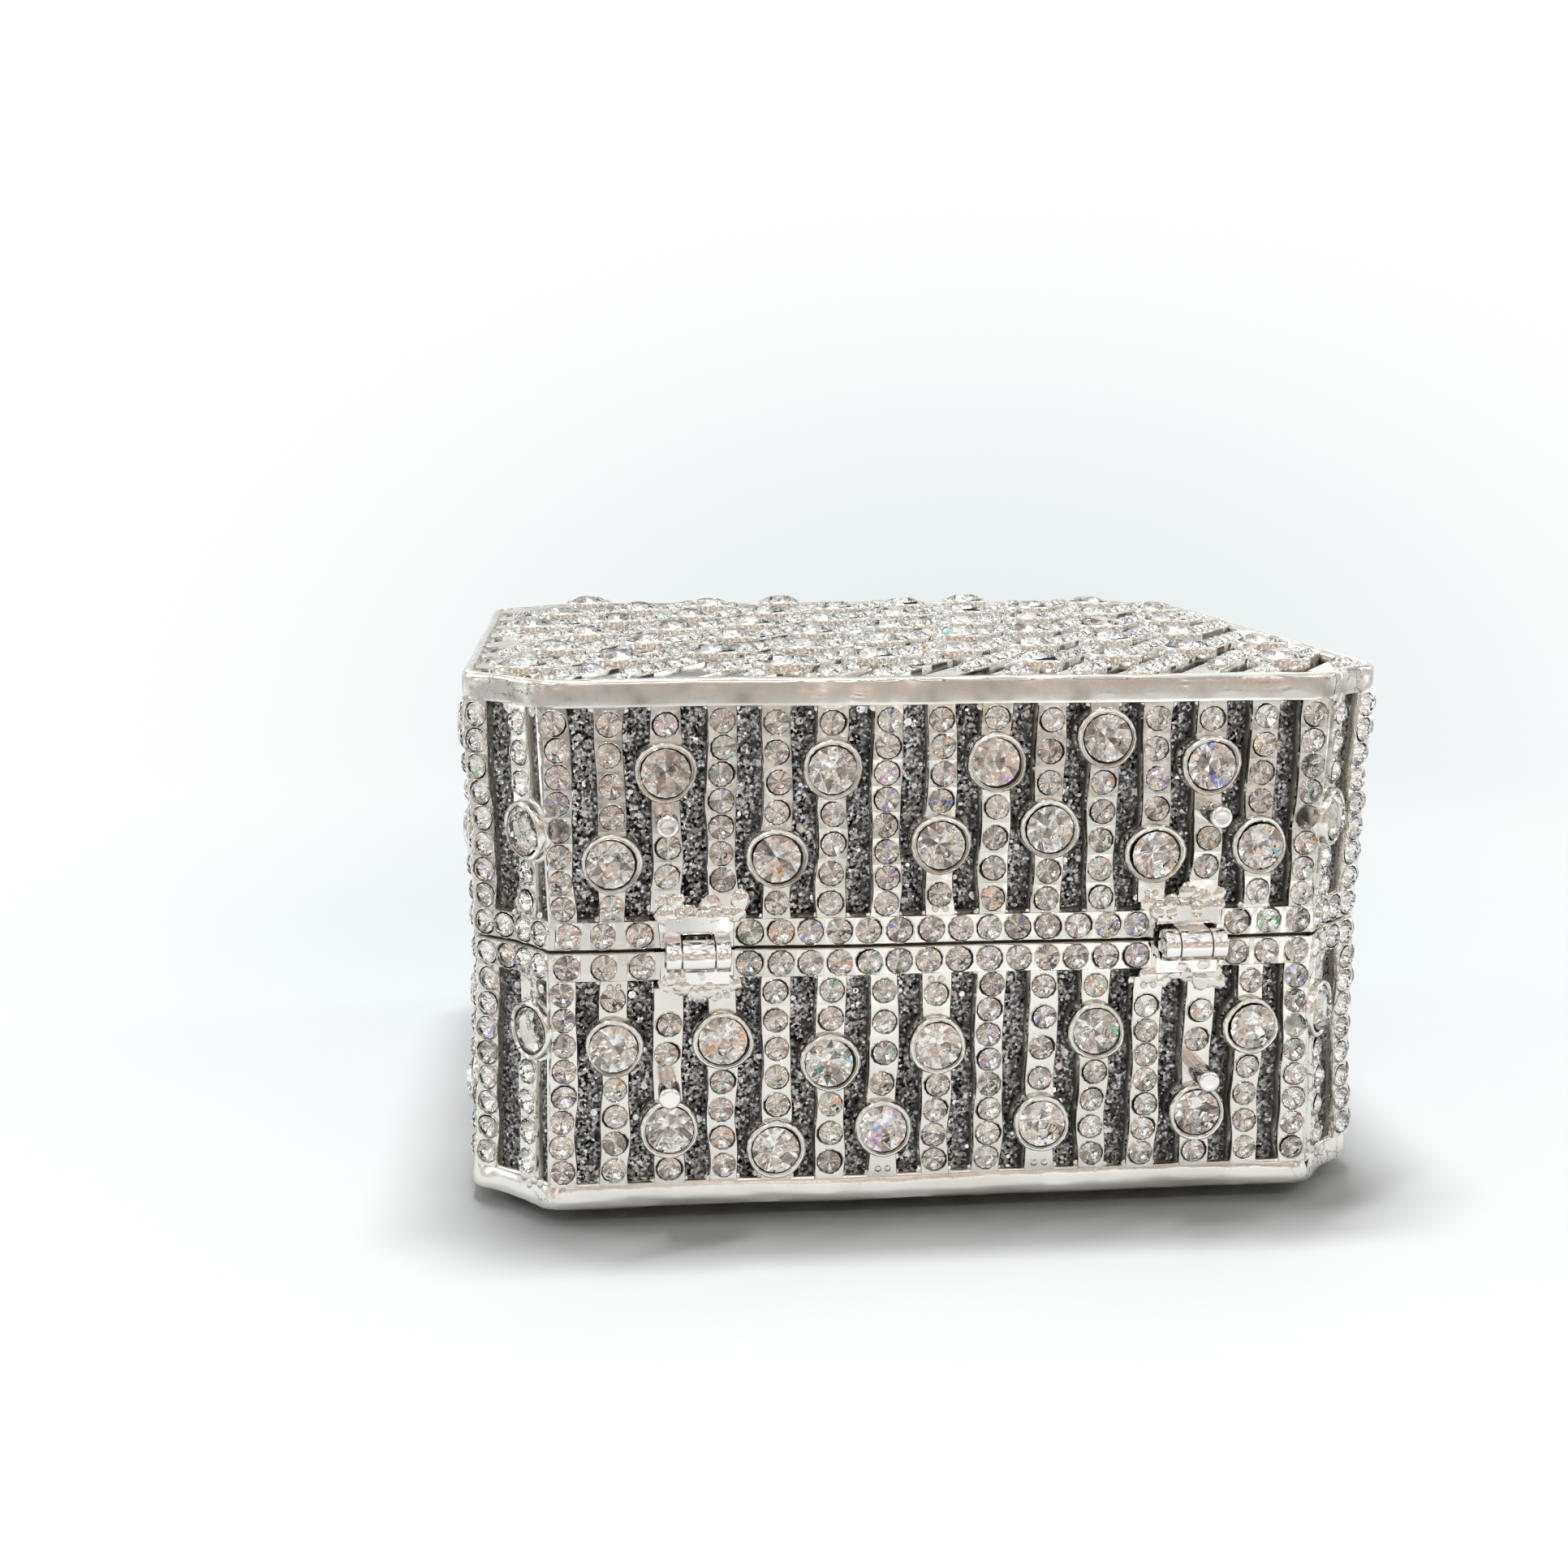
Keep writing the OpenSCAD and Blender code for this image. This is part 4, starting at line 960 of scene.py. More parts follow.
def add_upright(pile, m, rows, u, sides=(-BAR_HALF, BAR_HALF), high=BARS_HIGH, mitre=0):
    """A bar with its cups, a lump of solder beside some cups, and two beads where an end has no stone."""
    low_rows = below_band(rows)
    cups, seats = on_line(low_rows, u, True), on_line(low_rows, u, False)
    add_bar(pile, m, u, sides, BARS_LOW, high, seats, cups, mitre=mitre)
    for v in cups:
        add_cup(pile, m, u, v)
        for side in (-1, 1):
            if RNG.random() < LUMP_CHANCE:
                add_lump(pile, m, u + RNG.uniform(-LUMP_ASIDE, LUMP_ASIDE), v + side * LUMP_OFF, LUMP_SIZE,
                         LUMP_SIZE, LUMP_SUNK)
    for v, side in ((BARS_LOW, 1), (high, -1)):
        free = [abs(v - s) for s in seats] + [abs(v - c) - CUP_ROOM for c in cups]
        if min(free) > BEAD_ROOM and RNG.random() < BEAD_CHANCE:
            for across in (-BEAD_ASIDE, BEAD_ASIDE):
                pile.add(BEAD, m @ Matrix.Translation((u + across, v + side * BEAD_IN, BEAD_UP)))


def add_fillets(pile, m, u, high):
    """Metal that ran together where a bar meets the rim and the band."""
    for side in (-BAR_HALF, BAR_HALF):
        for v in (BARS_LOW + FILLET_IN[0], high - FILLET_IN[1]):
            if RNG.random() < FILLET_CHANCE:
                add_lump(pile, m, u + side, v + RNG.normal(0, FILLET_STRAY), RNG.uniform(*FILLET_SIZE),
                         FILLET_HEIGHT, FILLET_SUNK)


def plain(pile, m, low_u, high_u, low_v, high_v, lift=0.0):
    """A block without a seat, between these lines of a drawing."""
    u, v = (low_u + high_u) / 2, (low_v + high_v) / 2
    co = stretched(BLOCK, low_u - u, high_u - u, low_v - v, high_v - v)
    pile.add(BLOCK, m @ Matrix.Translation((u, v, lift)), co)


def seam_bar(pile, m, rows, low, high, end_mitre=(0, 0)):
    """One length of the band along the seam, with its seats."""
    seats = [u for u, v, _ in rows if v > LOW_STONES]
    add_bar(pile, along_band(m, seam_row), 0, (-SEAM_BAND / 2, SEAM_BAND / 2), low, high, seats, (),
            SEAM_LIFT, SEAM_SEAT, end_mitre=end_mitre)


def hinge_pad(pile, m, x, mine_in_middle):
    """The plain pad behind a hinge, notched at the seam for the other shell's knuckles, and its solder."""
    plain(pile, m, x - PAD_HALF, x + PAD_HALF, PAD_LOW, NOTCH_LOW, PAD_LIFT)
    inner, outer = MIDDLE_KNUCKLE + KNUCKLE_GAP, HINGE_HALF + KNUCKLE_GAP
    if mine_in_middle:
        blocks = ((-PAD_HALF, -outer), (-MIDDLE_KNUCKLE, MIDDLE_KNUCKLE), (outer, PAD_HALF))
    else:
        blocks = ((-PAD_HALF, -inner), (inner, PAD_HALF))
    for low, high in blocks:
        plain(pile, m, x + low, x + high, NOTCH_LOW, wall_h, PAD_LIFT)
    for _ in range(DROPS):
        add_lump(pile, m, x + RNG.uniform(-DROP_ASIDE, DROP_ASIDE), PAD_LOW + RNG.uniform(*DROP_UP),
                 RNG.uniform(*DROP_SIZE), RNG.uniform(*DROP_HEIGHT))
    for _ in range(HEAPED):
        add_lump(pile, m, x + RNG.uniform(-HEAP_ASIDE, HEAP_ASIDE), PAD_LOW + RNG.uniform(*HEAP_UP),
                 RNG.uniform(*HEAP_SIZE), RNG.uniform(*HEAP_HEIGHT), RNG.uniform(*HEAP_LIFT))


def pad_ring(half, height):
    """A square ring around the clasp's axis, drawn up to the seam on its upper side."""
    ring = on_square(half, half, height, CLASP_SIDES)
    ring[:, 1] *= np.where(ring[:, 1] > 0, (wall_h - CLASP_ROW) / CLASP_HALF, 1)
    return ring


CLASP_PAD = shape_of(hollow(extruded("clasp_pad", [
    pad_ring(CLASP_HALF - inset, height) for inset, height in zip((0, 0, EDGE), BLOCK_LEVELS)
] + [circle(r, h, CLASP_SIDES, 0.5) for r, h in (
    (COLLAR_R + COLLAR_GAP, BLOCK_LEVELS[2]), (COLLAR_R, 0.0), (SLEEVE_R, 0.0), (SLEEVE_R, BAR_ROOT))])))


def wall_piece(shell, face):
    """One wall of a shell. Bars end early at a pad, and the band along the seam is broken there."""
    pile = Pile()
    m = SHELLS[shell] @ WALLS[face]
    rows = local_stones(m, nodes_of(shell, face))
    pads = []
    if face == "front":
        pads = [(x, PAD_HALF, PAD_LOW) for x in HINGES.values()]
    if face == "rear" and shell == "base":
        pads = [(0, CLASP_HALF, CLASP_LOW)]
    for u in bar_lines(face)[1:-1]:
        high = min([BARS_HIGH] + [low + TUCKED for x, half, low in pads if abs(u - x) < half + PAD_ROOM])
        add_upright(pile, m, rows, u, high=high)
        add_fillets(pile, m, u, high)
    if face == "front":
        for side, x in HINGES.items():
            hinge_pad(pile, m, x, (side == "left") == (shell == "base"))
    elif pads:
        pile.add(CLASP_PAD, m @ Matrix.Translation((0, CLASP_ROW, 0)))
    end = HALF_SPAN[face] + CONVEX
    edges = [-end] + [x + side * half for x, half, _ in pads for side in (-1, 1)] + [end]
    for low, high in zip(edges[::2], edges[1::2]):
        seam_bar(pile, m, rows, low, high, (-1, 1))
    node = f"{shell}_{face}_wall"
    pile.make(f"{node}_casting", shell, [node], "cast_metal", [CAST])


for shell in SHELLS:
    for face in WALLS:
        wall_piece(shell, face)

# %% [markdown]
# ## The stepped corners
# Each corner of the case is a slanted face with cups on it, and beside it a narrow step. Two dark slots
# part them. The corner is drawn once, for the right rear, and mirrored to its four places. The end bars of
# the two walls beside it belong to it as well, and solder has run over its ends.

# %% Corner pieces
SLANT_SLOT = ((BAR_W - RIM_STRIP) / 2, (slant_l - RIM_STRIP) / 2)
STEP_SLOT = (BAR_W / 2, step_l - (BAR_W + RIM_STRIP) / 2)
CORNER_HALF, OVERLAP = 3.6, 0.05
BRAZED_LUMPS, BRAZED_ASIDE, BRAZED_ROWS, BRAZED_STRAY = 14, (-3.4, 2.9), (0.5, 23.3), 0.5
BRAZED_SIZE, BRAZED_HEIGHT, BRAZED_LIFT = (0.4, 0.75), (0.35, 0.6), 0.05
SHOULDER = shape_of(turned("shoulder", (
    (3.7, -2.0), (3.72, -0.2), (3.6, 0.1), (3.4, 0.2), (3.1, 0.2), (2.9, 0.0)), CUP_SIDES))


def slant_part(pile, m, rows):
    """The slanted face: a bar of seats, a cup that stands past it on a round shoulder, and a bare strip."""
    edge = slant_l / 2
    middle = (SLANT_SLOT[0] - edge) / 2
    cups, seats = on_line(rows, 0, True), on_line(below_band(rows), middle, False)
    add_bar(pile, m, middle, (-BAR_W / 2, BAR_W / 2), BARS_LOW, BARS_HIGH, seats, cups)
    plain(pile, m, SLANT_SLOT[1], edge + CONVEX, BARS_LOW, BARS_HIGH)
    for v in cups:
        pile.add(SHOULDER, m @ Matrix.Translation((0, v, 0)))
        add_cup(pile, m, 0, v)
    seam_bar(pile, m, rows, -edge - OVERLAP, edge + OVERLAP)


def step_part(pile, m, rows):
    low = -BAR_W / 2 - CONVEX
    add_bar(pile, m, 0, (low, BAR_W / 2), BARS_LOW, BARS_HIGH, on_line(below_band(rows), 0, False), mitre=-1)
    seam_bar(pile, m, rows, low, STEP_SLOT[1] + RIM_STRIP / 2, (-1, 0))


def corner_piece(shell, place):
    pile = Pile()
    sx, sy = CORNERS[place]
    frames = {key: SHELLS[shell] @ Matrix.Diagonal((sx, sy, 1, 1)) @ m for key, m in RIGHT_REAR.items()}
    for m, part in zip(frames.values(), (slant_part, step_part)):
        rows = local_stones(m, [f"{shell}_corner_stones", f"{shell}_seam_stones"])
        part(pile, m, rows[abs(rows[:, 0]) < CORNER_HALF])
    for face, wall in WALLS.items():
        m = SHELLS[shell] @ wall
        rows = local_stones(m, nodes_of(shell, face))
        for u in (bar_lines(face)[0], bar_lines(face)[-1]):
            at = wall @ Vector((u, 0, 0))
            if at.x * sx > 0 and at.y * sy > 0:
                outer = BAR_W / 2 + CONVEX
                sides = (-outer, BAR_HALF) if u < 0 else (-BAR_HALF, outer)
                add_upright(pile, m, rows, u, sides, mitre=np.sign(u))
    for _ in range(BRAZED_LUMPS):
        u, v = RNG.uniform(*BRAZED_ASIDE), RNG.choice(BRAZED_ROWS) + RNG.normal(0, BRAZED_STRAY)
        size, height = RNG.uniform(*BRAZED_SIZE), RNG.uniform(*BRAZED_HEIGHT)
        add_lump(pile, frames["slant"], u, v, size, height, BRAZED_LIFT)
    node = f"{shell}_{place}_corner"
    pile.make(f"{node}_casting", shell, [node], "cast_metal", [CAST])


for shell in SHELLS:
    for place in CORNERS:
        corner_piece(shell, place)

# %% [markdown]
# ## The broad faces
# A smooth rounded rim runs around each broad face, with a low ridge along its edge. Inside it slanted bars
# with cups cross the whole face. The rim is one profile carried around the outline of the case.

# %% Rim and slanted bars
RIM_PROFILE = (
    (2.15, 2.72), (0.3, 2.75), (-0.05, 2.74), (-0.19, 2.64), (-0.25, 2.3), (-0.27, 1.6), (-0.25, 0.9),
    (-0.2, 0.3), (-0.12, 0.02), (0.1, -0.16), (0.4, -0.27), (0.75, -0.3), (1.0, -0.22), (1.2, -0.06),
    (1.45, 0.0), (1.7, 0.03), (1.76, 0.15), (1.76, 2.1))
RIM_STEP = 1.6
CRUMPLE, RIDGE_END = 0.03, 0.4
# Painted shade: on the rim's outer band, darker on the lid than on the base, and on the faces' bars, darker
# towards their roots.
RIM_SHADE, FACE_SHADE = {"lid": 0.36, "base": 0.1}, 2.0
RIM_LEAN, LEAN_MIDDLE = {"lid": 0.0, "base": 0.0028}, 1.3
ROUND, ROUND_STEPS = 2.0, 4
FACE_INSET, FACE_LINES, CUP_REACH = 1.3, 16, 3


def facing(angle):
    return np.array((math.sin(angle), math.cos(angle)))


def drawn_in(corner, a, b, inset):
    """Where two faces that look to a and b, and meet at this corner, meet when both are drawn in."""
    return np.array(corner) - inset * (facing(a) + facing(b)) / (1 + facing(a) @ facing(b))


def outline(inset):
    """Corners of the plan, drawn in by inset, going around."""
    quarter = [
        drawn_in((half_w, side_end), step_angle, math.pi / 2, inset),
        drawn_in((slant_end, step_y), slant_angle, step_angle, inset),
        drawn_in((flat_end, half_d), 0, slant_angle, inset),
    ]
    points = []
    for sx, sy in ((1, 1), (-1, 1), (-1, -1), (1, -1)):
        mine = [(sx * x, sy * y) for x, y in quarter]
        points += mine if sx * sy > 0 else mine[::-1]
    return np.array(points)


def rim_ring(inset, height):
    """The outline with its corners rounded and its sides cut into short steps."""
    plan, full = outline(inset), outline(0)
    count = len(plan)
    ring = []
    for k in range(count):
        here, before, after = plan[k], plan[k - 1], plan[(k + 1) % count]
        back = (before - here) / np.linalg.norm(before - here)
        ahead = (after - here) / np.linalg.norm(after - here)
        near, far = here + ROUND * back, here + ROUND * ahead
        for j in range(ROUND_STEPS + 1):
            t = j / ROUND_STEPS
            ring.append((1 - t) ** 2 * near + 2 * t * (1 - t) * here + t ** 2 * far)
        side = np.linalg.norm(full[(k + 1) % count] - full[k])
        steps = max(1, int(side / RIM_STEP))
        stop = after - ROUND * ahead
        ring += [far + (stop - far) * j / steps for j in range(1, steps)]
    ring = np.array(ring)
    return np.column_stack([ring, np.full(len(ring), height)])


RIM = shape_of(hollow(extruded("rim", [rim_ring(inset, z) for inset, z in RIM_PROFILE])))
RIM_BAND = (RIM["co"][:, 2] > 0.1) & (RIM["co"][:, 2] < 2.5)
print("corners of the rim:", len(RIM["co"]))


def inside(x, y, inset):
    at = np.array((slant_end - abs(x), step_y - abs(y)))
    in_box = abs(x) <= half_w - inset and abs(y) <= half_d - inset
    return in_box and (at @ facing(slant_angle) >= inset or at @ facing(step_angle) >= inset)


def face_runs(u, inset, grain=0.1):
    """Where a slanted line at u lies within the outline: a list of from and to."""
    reach = half_w + half_d
    line = np.arange(-reach, reach, grain)
    within = [inside(u * lean_s + v * lean_c, -u * lean_c + v * lean_s, inset) for v in line]
    runs, start = [], None
    for v, ok in zip(line, within):
        if ok and start is None:
            start = v
        if not ok and start is not None:
            runs.append((start, v))
            start = None
    return runs


def grille_piece(shell, face):
    # The bars of a face get stronger painted shade towards their roots.
    pile = Pile(FACE_SHADE)
    node = f"{face}_grille"
    co = RIM["co"].copy()
    co[:, :2] *= 1 + RIM_LEAN[shell] * (LEAN_MIDDLE - co[:, 2:])
    ridge = co[:, 2] < RIDGE_END
    co[ridge] += RNG.normal(0, CRUMPLE, (ridge.sum(), 3))
    # The rim's outer band is marked for painted shade, darker on the lid.
    pile.add(RIM | {"painted_shade": RIM_SHADE[shell] * RIM_BAND}, SHELLS[shell], co)
    m = SHELLS[shell] @ FACE
    rows = local_stones(m, [f"{face}_large_stones", f"{face}_small_stones"])
    for i in range(-FACE_LINES, FACE_LINES + 1):
        u = i * BAR_PITCH
        for low, high in face_runs(u, FACE_INSET):
            cups = [v for v in on_line(rows, u, True) if low - CUP_REACH < v < high + CUP_REACH]
            add_bar(pile, m, u, (-BAR_HALF, BAR_HALF), low, high, on_line(rows, u, False), cups)
            for v in cups:
                add_cup(pile, m, u, v)
    pile.make(f"{node}_casting", shell, [node], "cast_metal", [CAST])


grille_piece("base", "base_bottom")
grille_piece("lid", "lid_top")

# %% [markdown]
# ## The stones
# A cut stone is a convex solid, so it can be wrapped around its corner points: an eight-sided table, a ring
# of star points, the girdle, a lower ring and the point. What lies below the girdle is foil.

# %% Cut stones
ONE_FACET = math.radians(0.5)


def brilliant(name, rings, girdle):
    """The hull of rings of points, given by radius, height, count and turn. Below the girdle it's foil."""
    nothing_selected()
    obj = None
    for radius, height, count, shift in rings:
        bpy.ops.mesh.primitive_circle_add(vertices=count, radius=radius, location=(0, 0, height),
                                          rotation=(0, 0, 2 * math.pi * shift / count))
        if obj is None:
            obj = bpy.context.object
            obj.name = name
            bpy.ops.object.transform_apply(location=True, rotation=True, scale=True)
            enter(obj)
    bpy.ops.mesh.select_all(action="SELECT")
    bpy.ops.mesh.convex_hull(join_triangles=False)
    bpy.ops.mesh.dissolve_limited(angle_limit=ONE_FACET)
    leave_facing_out()
    for face in obj.data.polygons:
        face.material_index = 1 if face.center.z < girdle and face.normal.z < -0.05 else 0
    shape = shape_of(obj)
    print(name, "facets:", len(shape["totals"]), "foil:", int(shape["slots"].sum()))
    return shape


SMALL_STONE = brilliant("small_stone", (
    (0.70, 0.80, 8, 0.0), (1.05, 0.62, 8, 0.5), (1.29, 0.30, 16, 0.0), (1.29, 0.22, 16, 0.0),
    (0.02, -0.82, 8, 0.5)), 0.22)
LARGE_STONE = brilliant("large_stone", (
    (1.42, 1.72, 8, 0.0), (2.06, 1.46, 8, 0.5), (2.6, 1.02, 16, 0.0), (2.6, 0.94, 16, 0.0),
    (1.2, -0.42, 8, 0.5), (0.03, -1.32, 8, 0.5)), 0.94)
# Painted reflection and shade on the foil: each facet is painted white, pale, pinkish, grey or dark.
FACET_LIGHT_AND_SHADE = np.array((
    (1.0, 1.0, 1.0), (0.97, 0.98, 1.0), (0.94, 0.86, 0.81), (0.75, 0.74, 0.73), (0.42, 0.40, 0.39)))
FACET_LIGHT_SHARES = (0.42, 0.20, 0.08, 0.16, 0.14)
# Painted light: a few facets get painted coloured fire.
FLASHES = np.array((
    (0.25, 0.35, 1.0), (1.0, 0.55, 0.25), (0.35, 0.85, 1.0), (0.75, 0.5, 1.0), (0.4, 1.0, 0.6)))
FLASH_SHARE, FLASH_COLOUR = 0.02, 0.7
TILT, SUNK, STONE_SIZES = math.radians(3.4), 0.05, (0.985, 1.01)


# Painted light for each facet: a reflection or shade from the list above, and now and then coloured fire.
def painted_facet_light(count):
    light = FACET_LIGHT_AND_SHADE[RNG.choice(len(FACET_LIGHT_AND_SHADE), count, p=FACET_LIGHT_SHARES)]
    flash = RNG.random(count) < FLASH_SHARE
    colours = FLASHES[RNG.integers(0, len(FLASHES), flash.sum())]
    light[flash] = (1 - FLASH_COLOUR) * light[flash] + FLASH_COLOUR * colours
    return np.column_stack([light, np.ones(count)])


def stone_piece(node):
    pile = Pile()
    for x, y, z, nx, ny, nz, width in STONES[node]:
        out = Vector((nx, ny, nz))
        place = np.array([[x, y, z]])
        place = (place + uneven(place))[0] - np.array(out) * SUNK
        large = width > LARGE_R + SMALL_R
        shape, nominal = (LARGE_STONE, 2 * LARGE_R) if large else (SMALL_STONE, 2 * SMALL_R)
        tilt = Matrix.Rotation(RNG.normal(0, TILT), 4, "X")
        spin = Matrix.Rotation(RNG.uniform(0, math.pi), 4, "Z")
        across = out.orthogonal().normalized()
        m = Matrix.Translation(place) @ axes(across, out.cross(across), out, (0, 0, 0)) @ tilt @ spin
        size = RNG.uniform(*STONE_SIZES) * width / nominal * (SEAM_SEAT if "seam" in node else 1)
        pile.add(shape, m, shape["co"] * size, bent=False, marks=painted_facet_light(len(shape["totals"])))
    name = node.replace("_stones", "_cut_stones")
    pile.make(name, node.split("_")[0], [node], "crystal", [GLASS, FOIL], False)


for node in STONES:
    stone_piece(node)

# %% [markdown]
# ## The glitter sheets
# Behind the slots lies a cloth of glitter: charcoal flakes, each tipped its own way, so some flash and some
# are black. The sheet's finish gives the fine flakes, and a few thousand loose ones are thin hexagons. At
# the corners the cloth is pressed up between the bars, where less light reaches it, so there its finish is
# painted darker as shade.

# %% Glitter cloth and flakes
COARSE_SCALE, FINE_SCALE = 3200.0, 7000.0
FLAKE_SHADES = (
    (0.0, (0.06, 0.06, 0.065)), (0.16, (0.30, 0.30, 0.32)), (0.38, (0.66, 0.66, 0.67)), (0.66, WHITE))
SPECK_SHADES = ((0.0, 0.55), (0.5, 1.0), (0.9, 2.2))
FLAKE_TIP = 1.3


def glitter(name, light):
    material, tree, shader, _ = new_material(name)
    place = object_place(tree)
    coarse = cells(tree, place, COARSE_SCALE)["Color"]
    fine = cells(tree, place, FINE_SCALE)["Color"]
    flake, speck = (add_node(tree, "SeparateColor", {"Color": c}).outputs["Red"] for c in (coarse, fine))
    base = ramp(tree, flake, FLAKE_SHADES, "CONSTANT")
    specks = ramp(tree, speck, greys(*((place, light * value) for place, value in SPECK_SHADES)), "CONSTANT")
    tipped = vectors(tree, "MULTIPLY", vectors(tree, "SUBTRACT", coarse, grey(0.5)), grey(FLAKE_TIP))
    leaning = vectors(tree, "ADD", add_node(tree, "NewGeometry").outputs["Normal"], tipped)
    feed(tree, shader, {"Base Color": mixed(tree, 1.0, base, specks, "MULTIPLY"),
                        "Metallic": 0.85, "Roughness": 0.28, "Normal": vectors(tree, "NORMALIZE", leaning)})
    return material


# The second glitter is the same finish, painted darker as shade for the corners.
GLITTER, SHADED_GLITTER = glitter("charcoal_glitter", 1.0), glitter("shaded_glitter", 0.4)
FLAKES = marked_foil("glitter_flakes", 3000.0, greys((0.35, 0.7), (0.6, 1.0)), 0.16)
FLAKE = shape_of(turned("flake", ((1.0, -0.06), (1.0, 0.06)), 6))
SHEET_W, FLAKE_LIFT, FLAKE_THIN = -WALL_T, 0.1, 0.3
SLOT_FLAKES, FACE_FLAKES, CORNER_FLAKES = 46, 1000, 9
BIG_SHARE, BIG_SIZE, SMALL_SIZE = 0.14, (0.32, 0.48), (0.12, 0.26)
BIG_LEAN, SMALL_LEAN, SIDE_LEAN = 0.12, 0.5, 0.35
BIG_SHADES, SMALL_SHADES = (0.75, 1.0), (0.15, 0.45, 0.7, 0.95, 1.0)
SLOT_INSET, FACE_SHEET_INSET, HALF_SLOT = 1.3, 2.4, 1.25
CORNER_SHEET = -0.95
CORNER_STRIPS = {"slant": (-slant_l / 2 - 0.1, slant_l / 2), "step": (1.2, STEP_SLOT[1] + 0.4)}
WELD, BEVEL_ABOVE = 0.00001, math.radians(35)


def dress(node, material, bevel=None):
    """Give a CAD node that keeps its shape its finish. A bevel, in mm, softens its edges for the eye."""
    obj = NODES[node]
    for slot in obj.material_slots:
        slot.material = material
    if not obj.material_slots:
        obj.data.materials.append(material)
    if bevel:
        weld = obj.modifiers.new("weld", "WELD")
        weld.merge_threshold = WELD
        soft = obj.modifiers.new("bevel", "BEVEL")
        soft.width = bevel * MM
        soft.segments = 2
        soft.limit_method = "ANGLE"
        soft.angle_limit = BEVEL_ABOVE
        soft.harden_normals = True


def scatter(pile, m, u, v, sheet=SHEET_W):
    """A flake at u, v: a few are big and lie nearly flat, and the small ones lean more."""
    big = RNG.random() < BIG_SHARE
    size = RNG.uniform(*(BIG_SIZE if big else SMALL_SIZE))
    lean = Matrix.Rotation(RNG.normal(0, BIG_LEAN if big else SMALL_LEAN), 4, "X")
    lean = lean @ Matrix.Rotation(RNG.normal(0, SIDE_LEAN), 4, "Y")
    spin = Matrix.Rotation(RNG.uniform(0, math.pi), 4, "Z")
    shade = RNG.uniform(*BIG_SHADES) if big else RNG.choice(SMALL_SHADES)
    marks = np.array([(*grey(shade), 1.0)] * len(FLAKE["totals"]))
    local = FLAKE["co"] * (size, size, FLAKE_THIN)
    pile.add(FLAKE, m @ Matrix.Translation((u, v, sheet + FLAKE_LIFT)) @ spin @ lean, local, marks=marks)


def flakes_piece(pile, shell, where):
    pile.make(f"{shell}_{where}_flakes", shell, [], "glitter_sheet", [FLAKES])


def corner_glitter(shell):
    """Strips of the cloth, painted darker as shade, pressed up between the corner's bars, and flakes on
    them.
    """
    cloth, flakes = Pile(), Pile()
    for sx, sy in CORNERS.values():
        for key, (low, high) in CORNER_STRIPS.items():
            m = SHELLS[shell] @ Matrix.Diagonal((sx, sy, 1, 1)) @ RIGHT_REAR[key]
            plain(cloth, m, low, high, BARS_LOW, slot_high + 0.5, CORNER_SHEET - BLOCK_LEVELS[2])
            for _ in range(CORNER_FLAKES):
                scatter(flakes, m, RNG.uniform(low, high), RNG.uniform(RIM_STRIP, slot_high), CORNER_SHEET)
    cloth.make(f"{shell}_corner_cloth", shell, [], "glitter_sheet", [SHADED_GLITTER], False)
    flakes_piece(flakes, shell, "corner")


def wall_flakes(shell):
    pile = Pile()
    for face, wall in WALLS.items():
        lines = bar_lines(face)
        for left, right in zip(lines, lines[1:]):
            for _ in range(SLOT_FLAKES):
                u = RNG.uniform(left + SLOT_INSET, right - SLOT_INSET)
                scatter(pile, SHELLS[shell] @ wall, u, RNG.uniform(RIM_STRIP, slot_high))
    flakes_piece(pile, shell, "wall")


def face_flakes(shell):
    pile = Pile()
    while len(pile.rows) < FACE_FLAKES:
        x, y = RNG.uniform(-half_w, half_w), RNG.uniform(-half_d, half_d)
        u, v = x * lean_s - y * lean_c, x * lean_c + y * lean_s
        off = abs((u / BAR_PITCH) % 1 - 0.5) * BAR_PITCH
        if inside(x, y, FACE_SHEET_INSET) and off < HALF_SLOT:
            scatter(pile, SHELLS[shell] @ FACE, u, v)
    flakes_piece(pile, shell, "face")


for shell in SHELLS:
    corner_glitter(shell)
    wall_flakes(shell)
    face_flakes(shell)
for node in NODES:
    if "glitter_sheet" in node:
        dress(node, GLITTER)

# %% [markdown]
# ## Hinges and pegs
# A knuckle is a short thick tube with polished rounded edges. It hangs on an arm that runs back to a small
# plate, and the plate is brazed on the pad of the wall. The pegs are plain pins with a worn round edge.

# %% Tubes, arms and plates
TUBE_SIDES, PIN_SIDES = 40, 24
PIN_R, BORE_GAP, KNUCKLE_SOFT = 0.7, 0.06, 0.14
HINGE_Y = (hinge_low.y + hinge_high.y) / 2 / MM
HINGE_Z = (hinge_low.z + hinge_high.z) / 2 / MM
HINGE_REACH = -half_d + mid_shift - HINGE_Y
BARREL_R, LEAF_T, LEAF_H = 1.75, 0.9, 2.2
SIDE_KNUCKLE = 1.6


def mirrored_profile(half):
    """A turned profile: these points below the middle, as radius and height, and their mirror image."""
    return half + [(r, -h) for r, h in reversed(half)]


def knuckle(length):
    h, bore = length / 2, PIN_R + BORE_GAP
    shoulder, edge = h - KNUCKLE_SOFT / 3, BARREL_R - KNUCKLE_SOFT / 3
    half = [(bore, KNUCKLE_SOFT - h), (bore + KNUCKLE_SOFT, -h), (BARREL_R - KNUCKLE_SOFT, -h),
            (edge, -shoulder), (BARREL_R, KNUCKLE_SOFT - h)]
    return shape_of(hollow(turned("knuckle", mirrored_profile(half), TUBE_SIDES)))


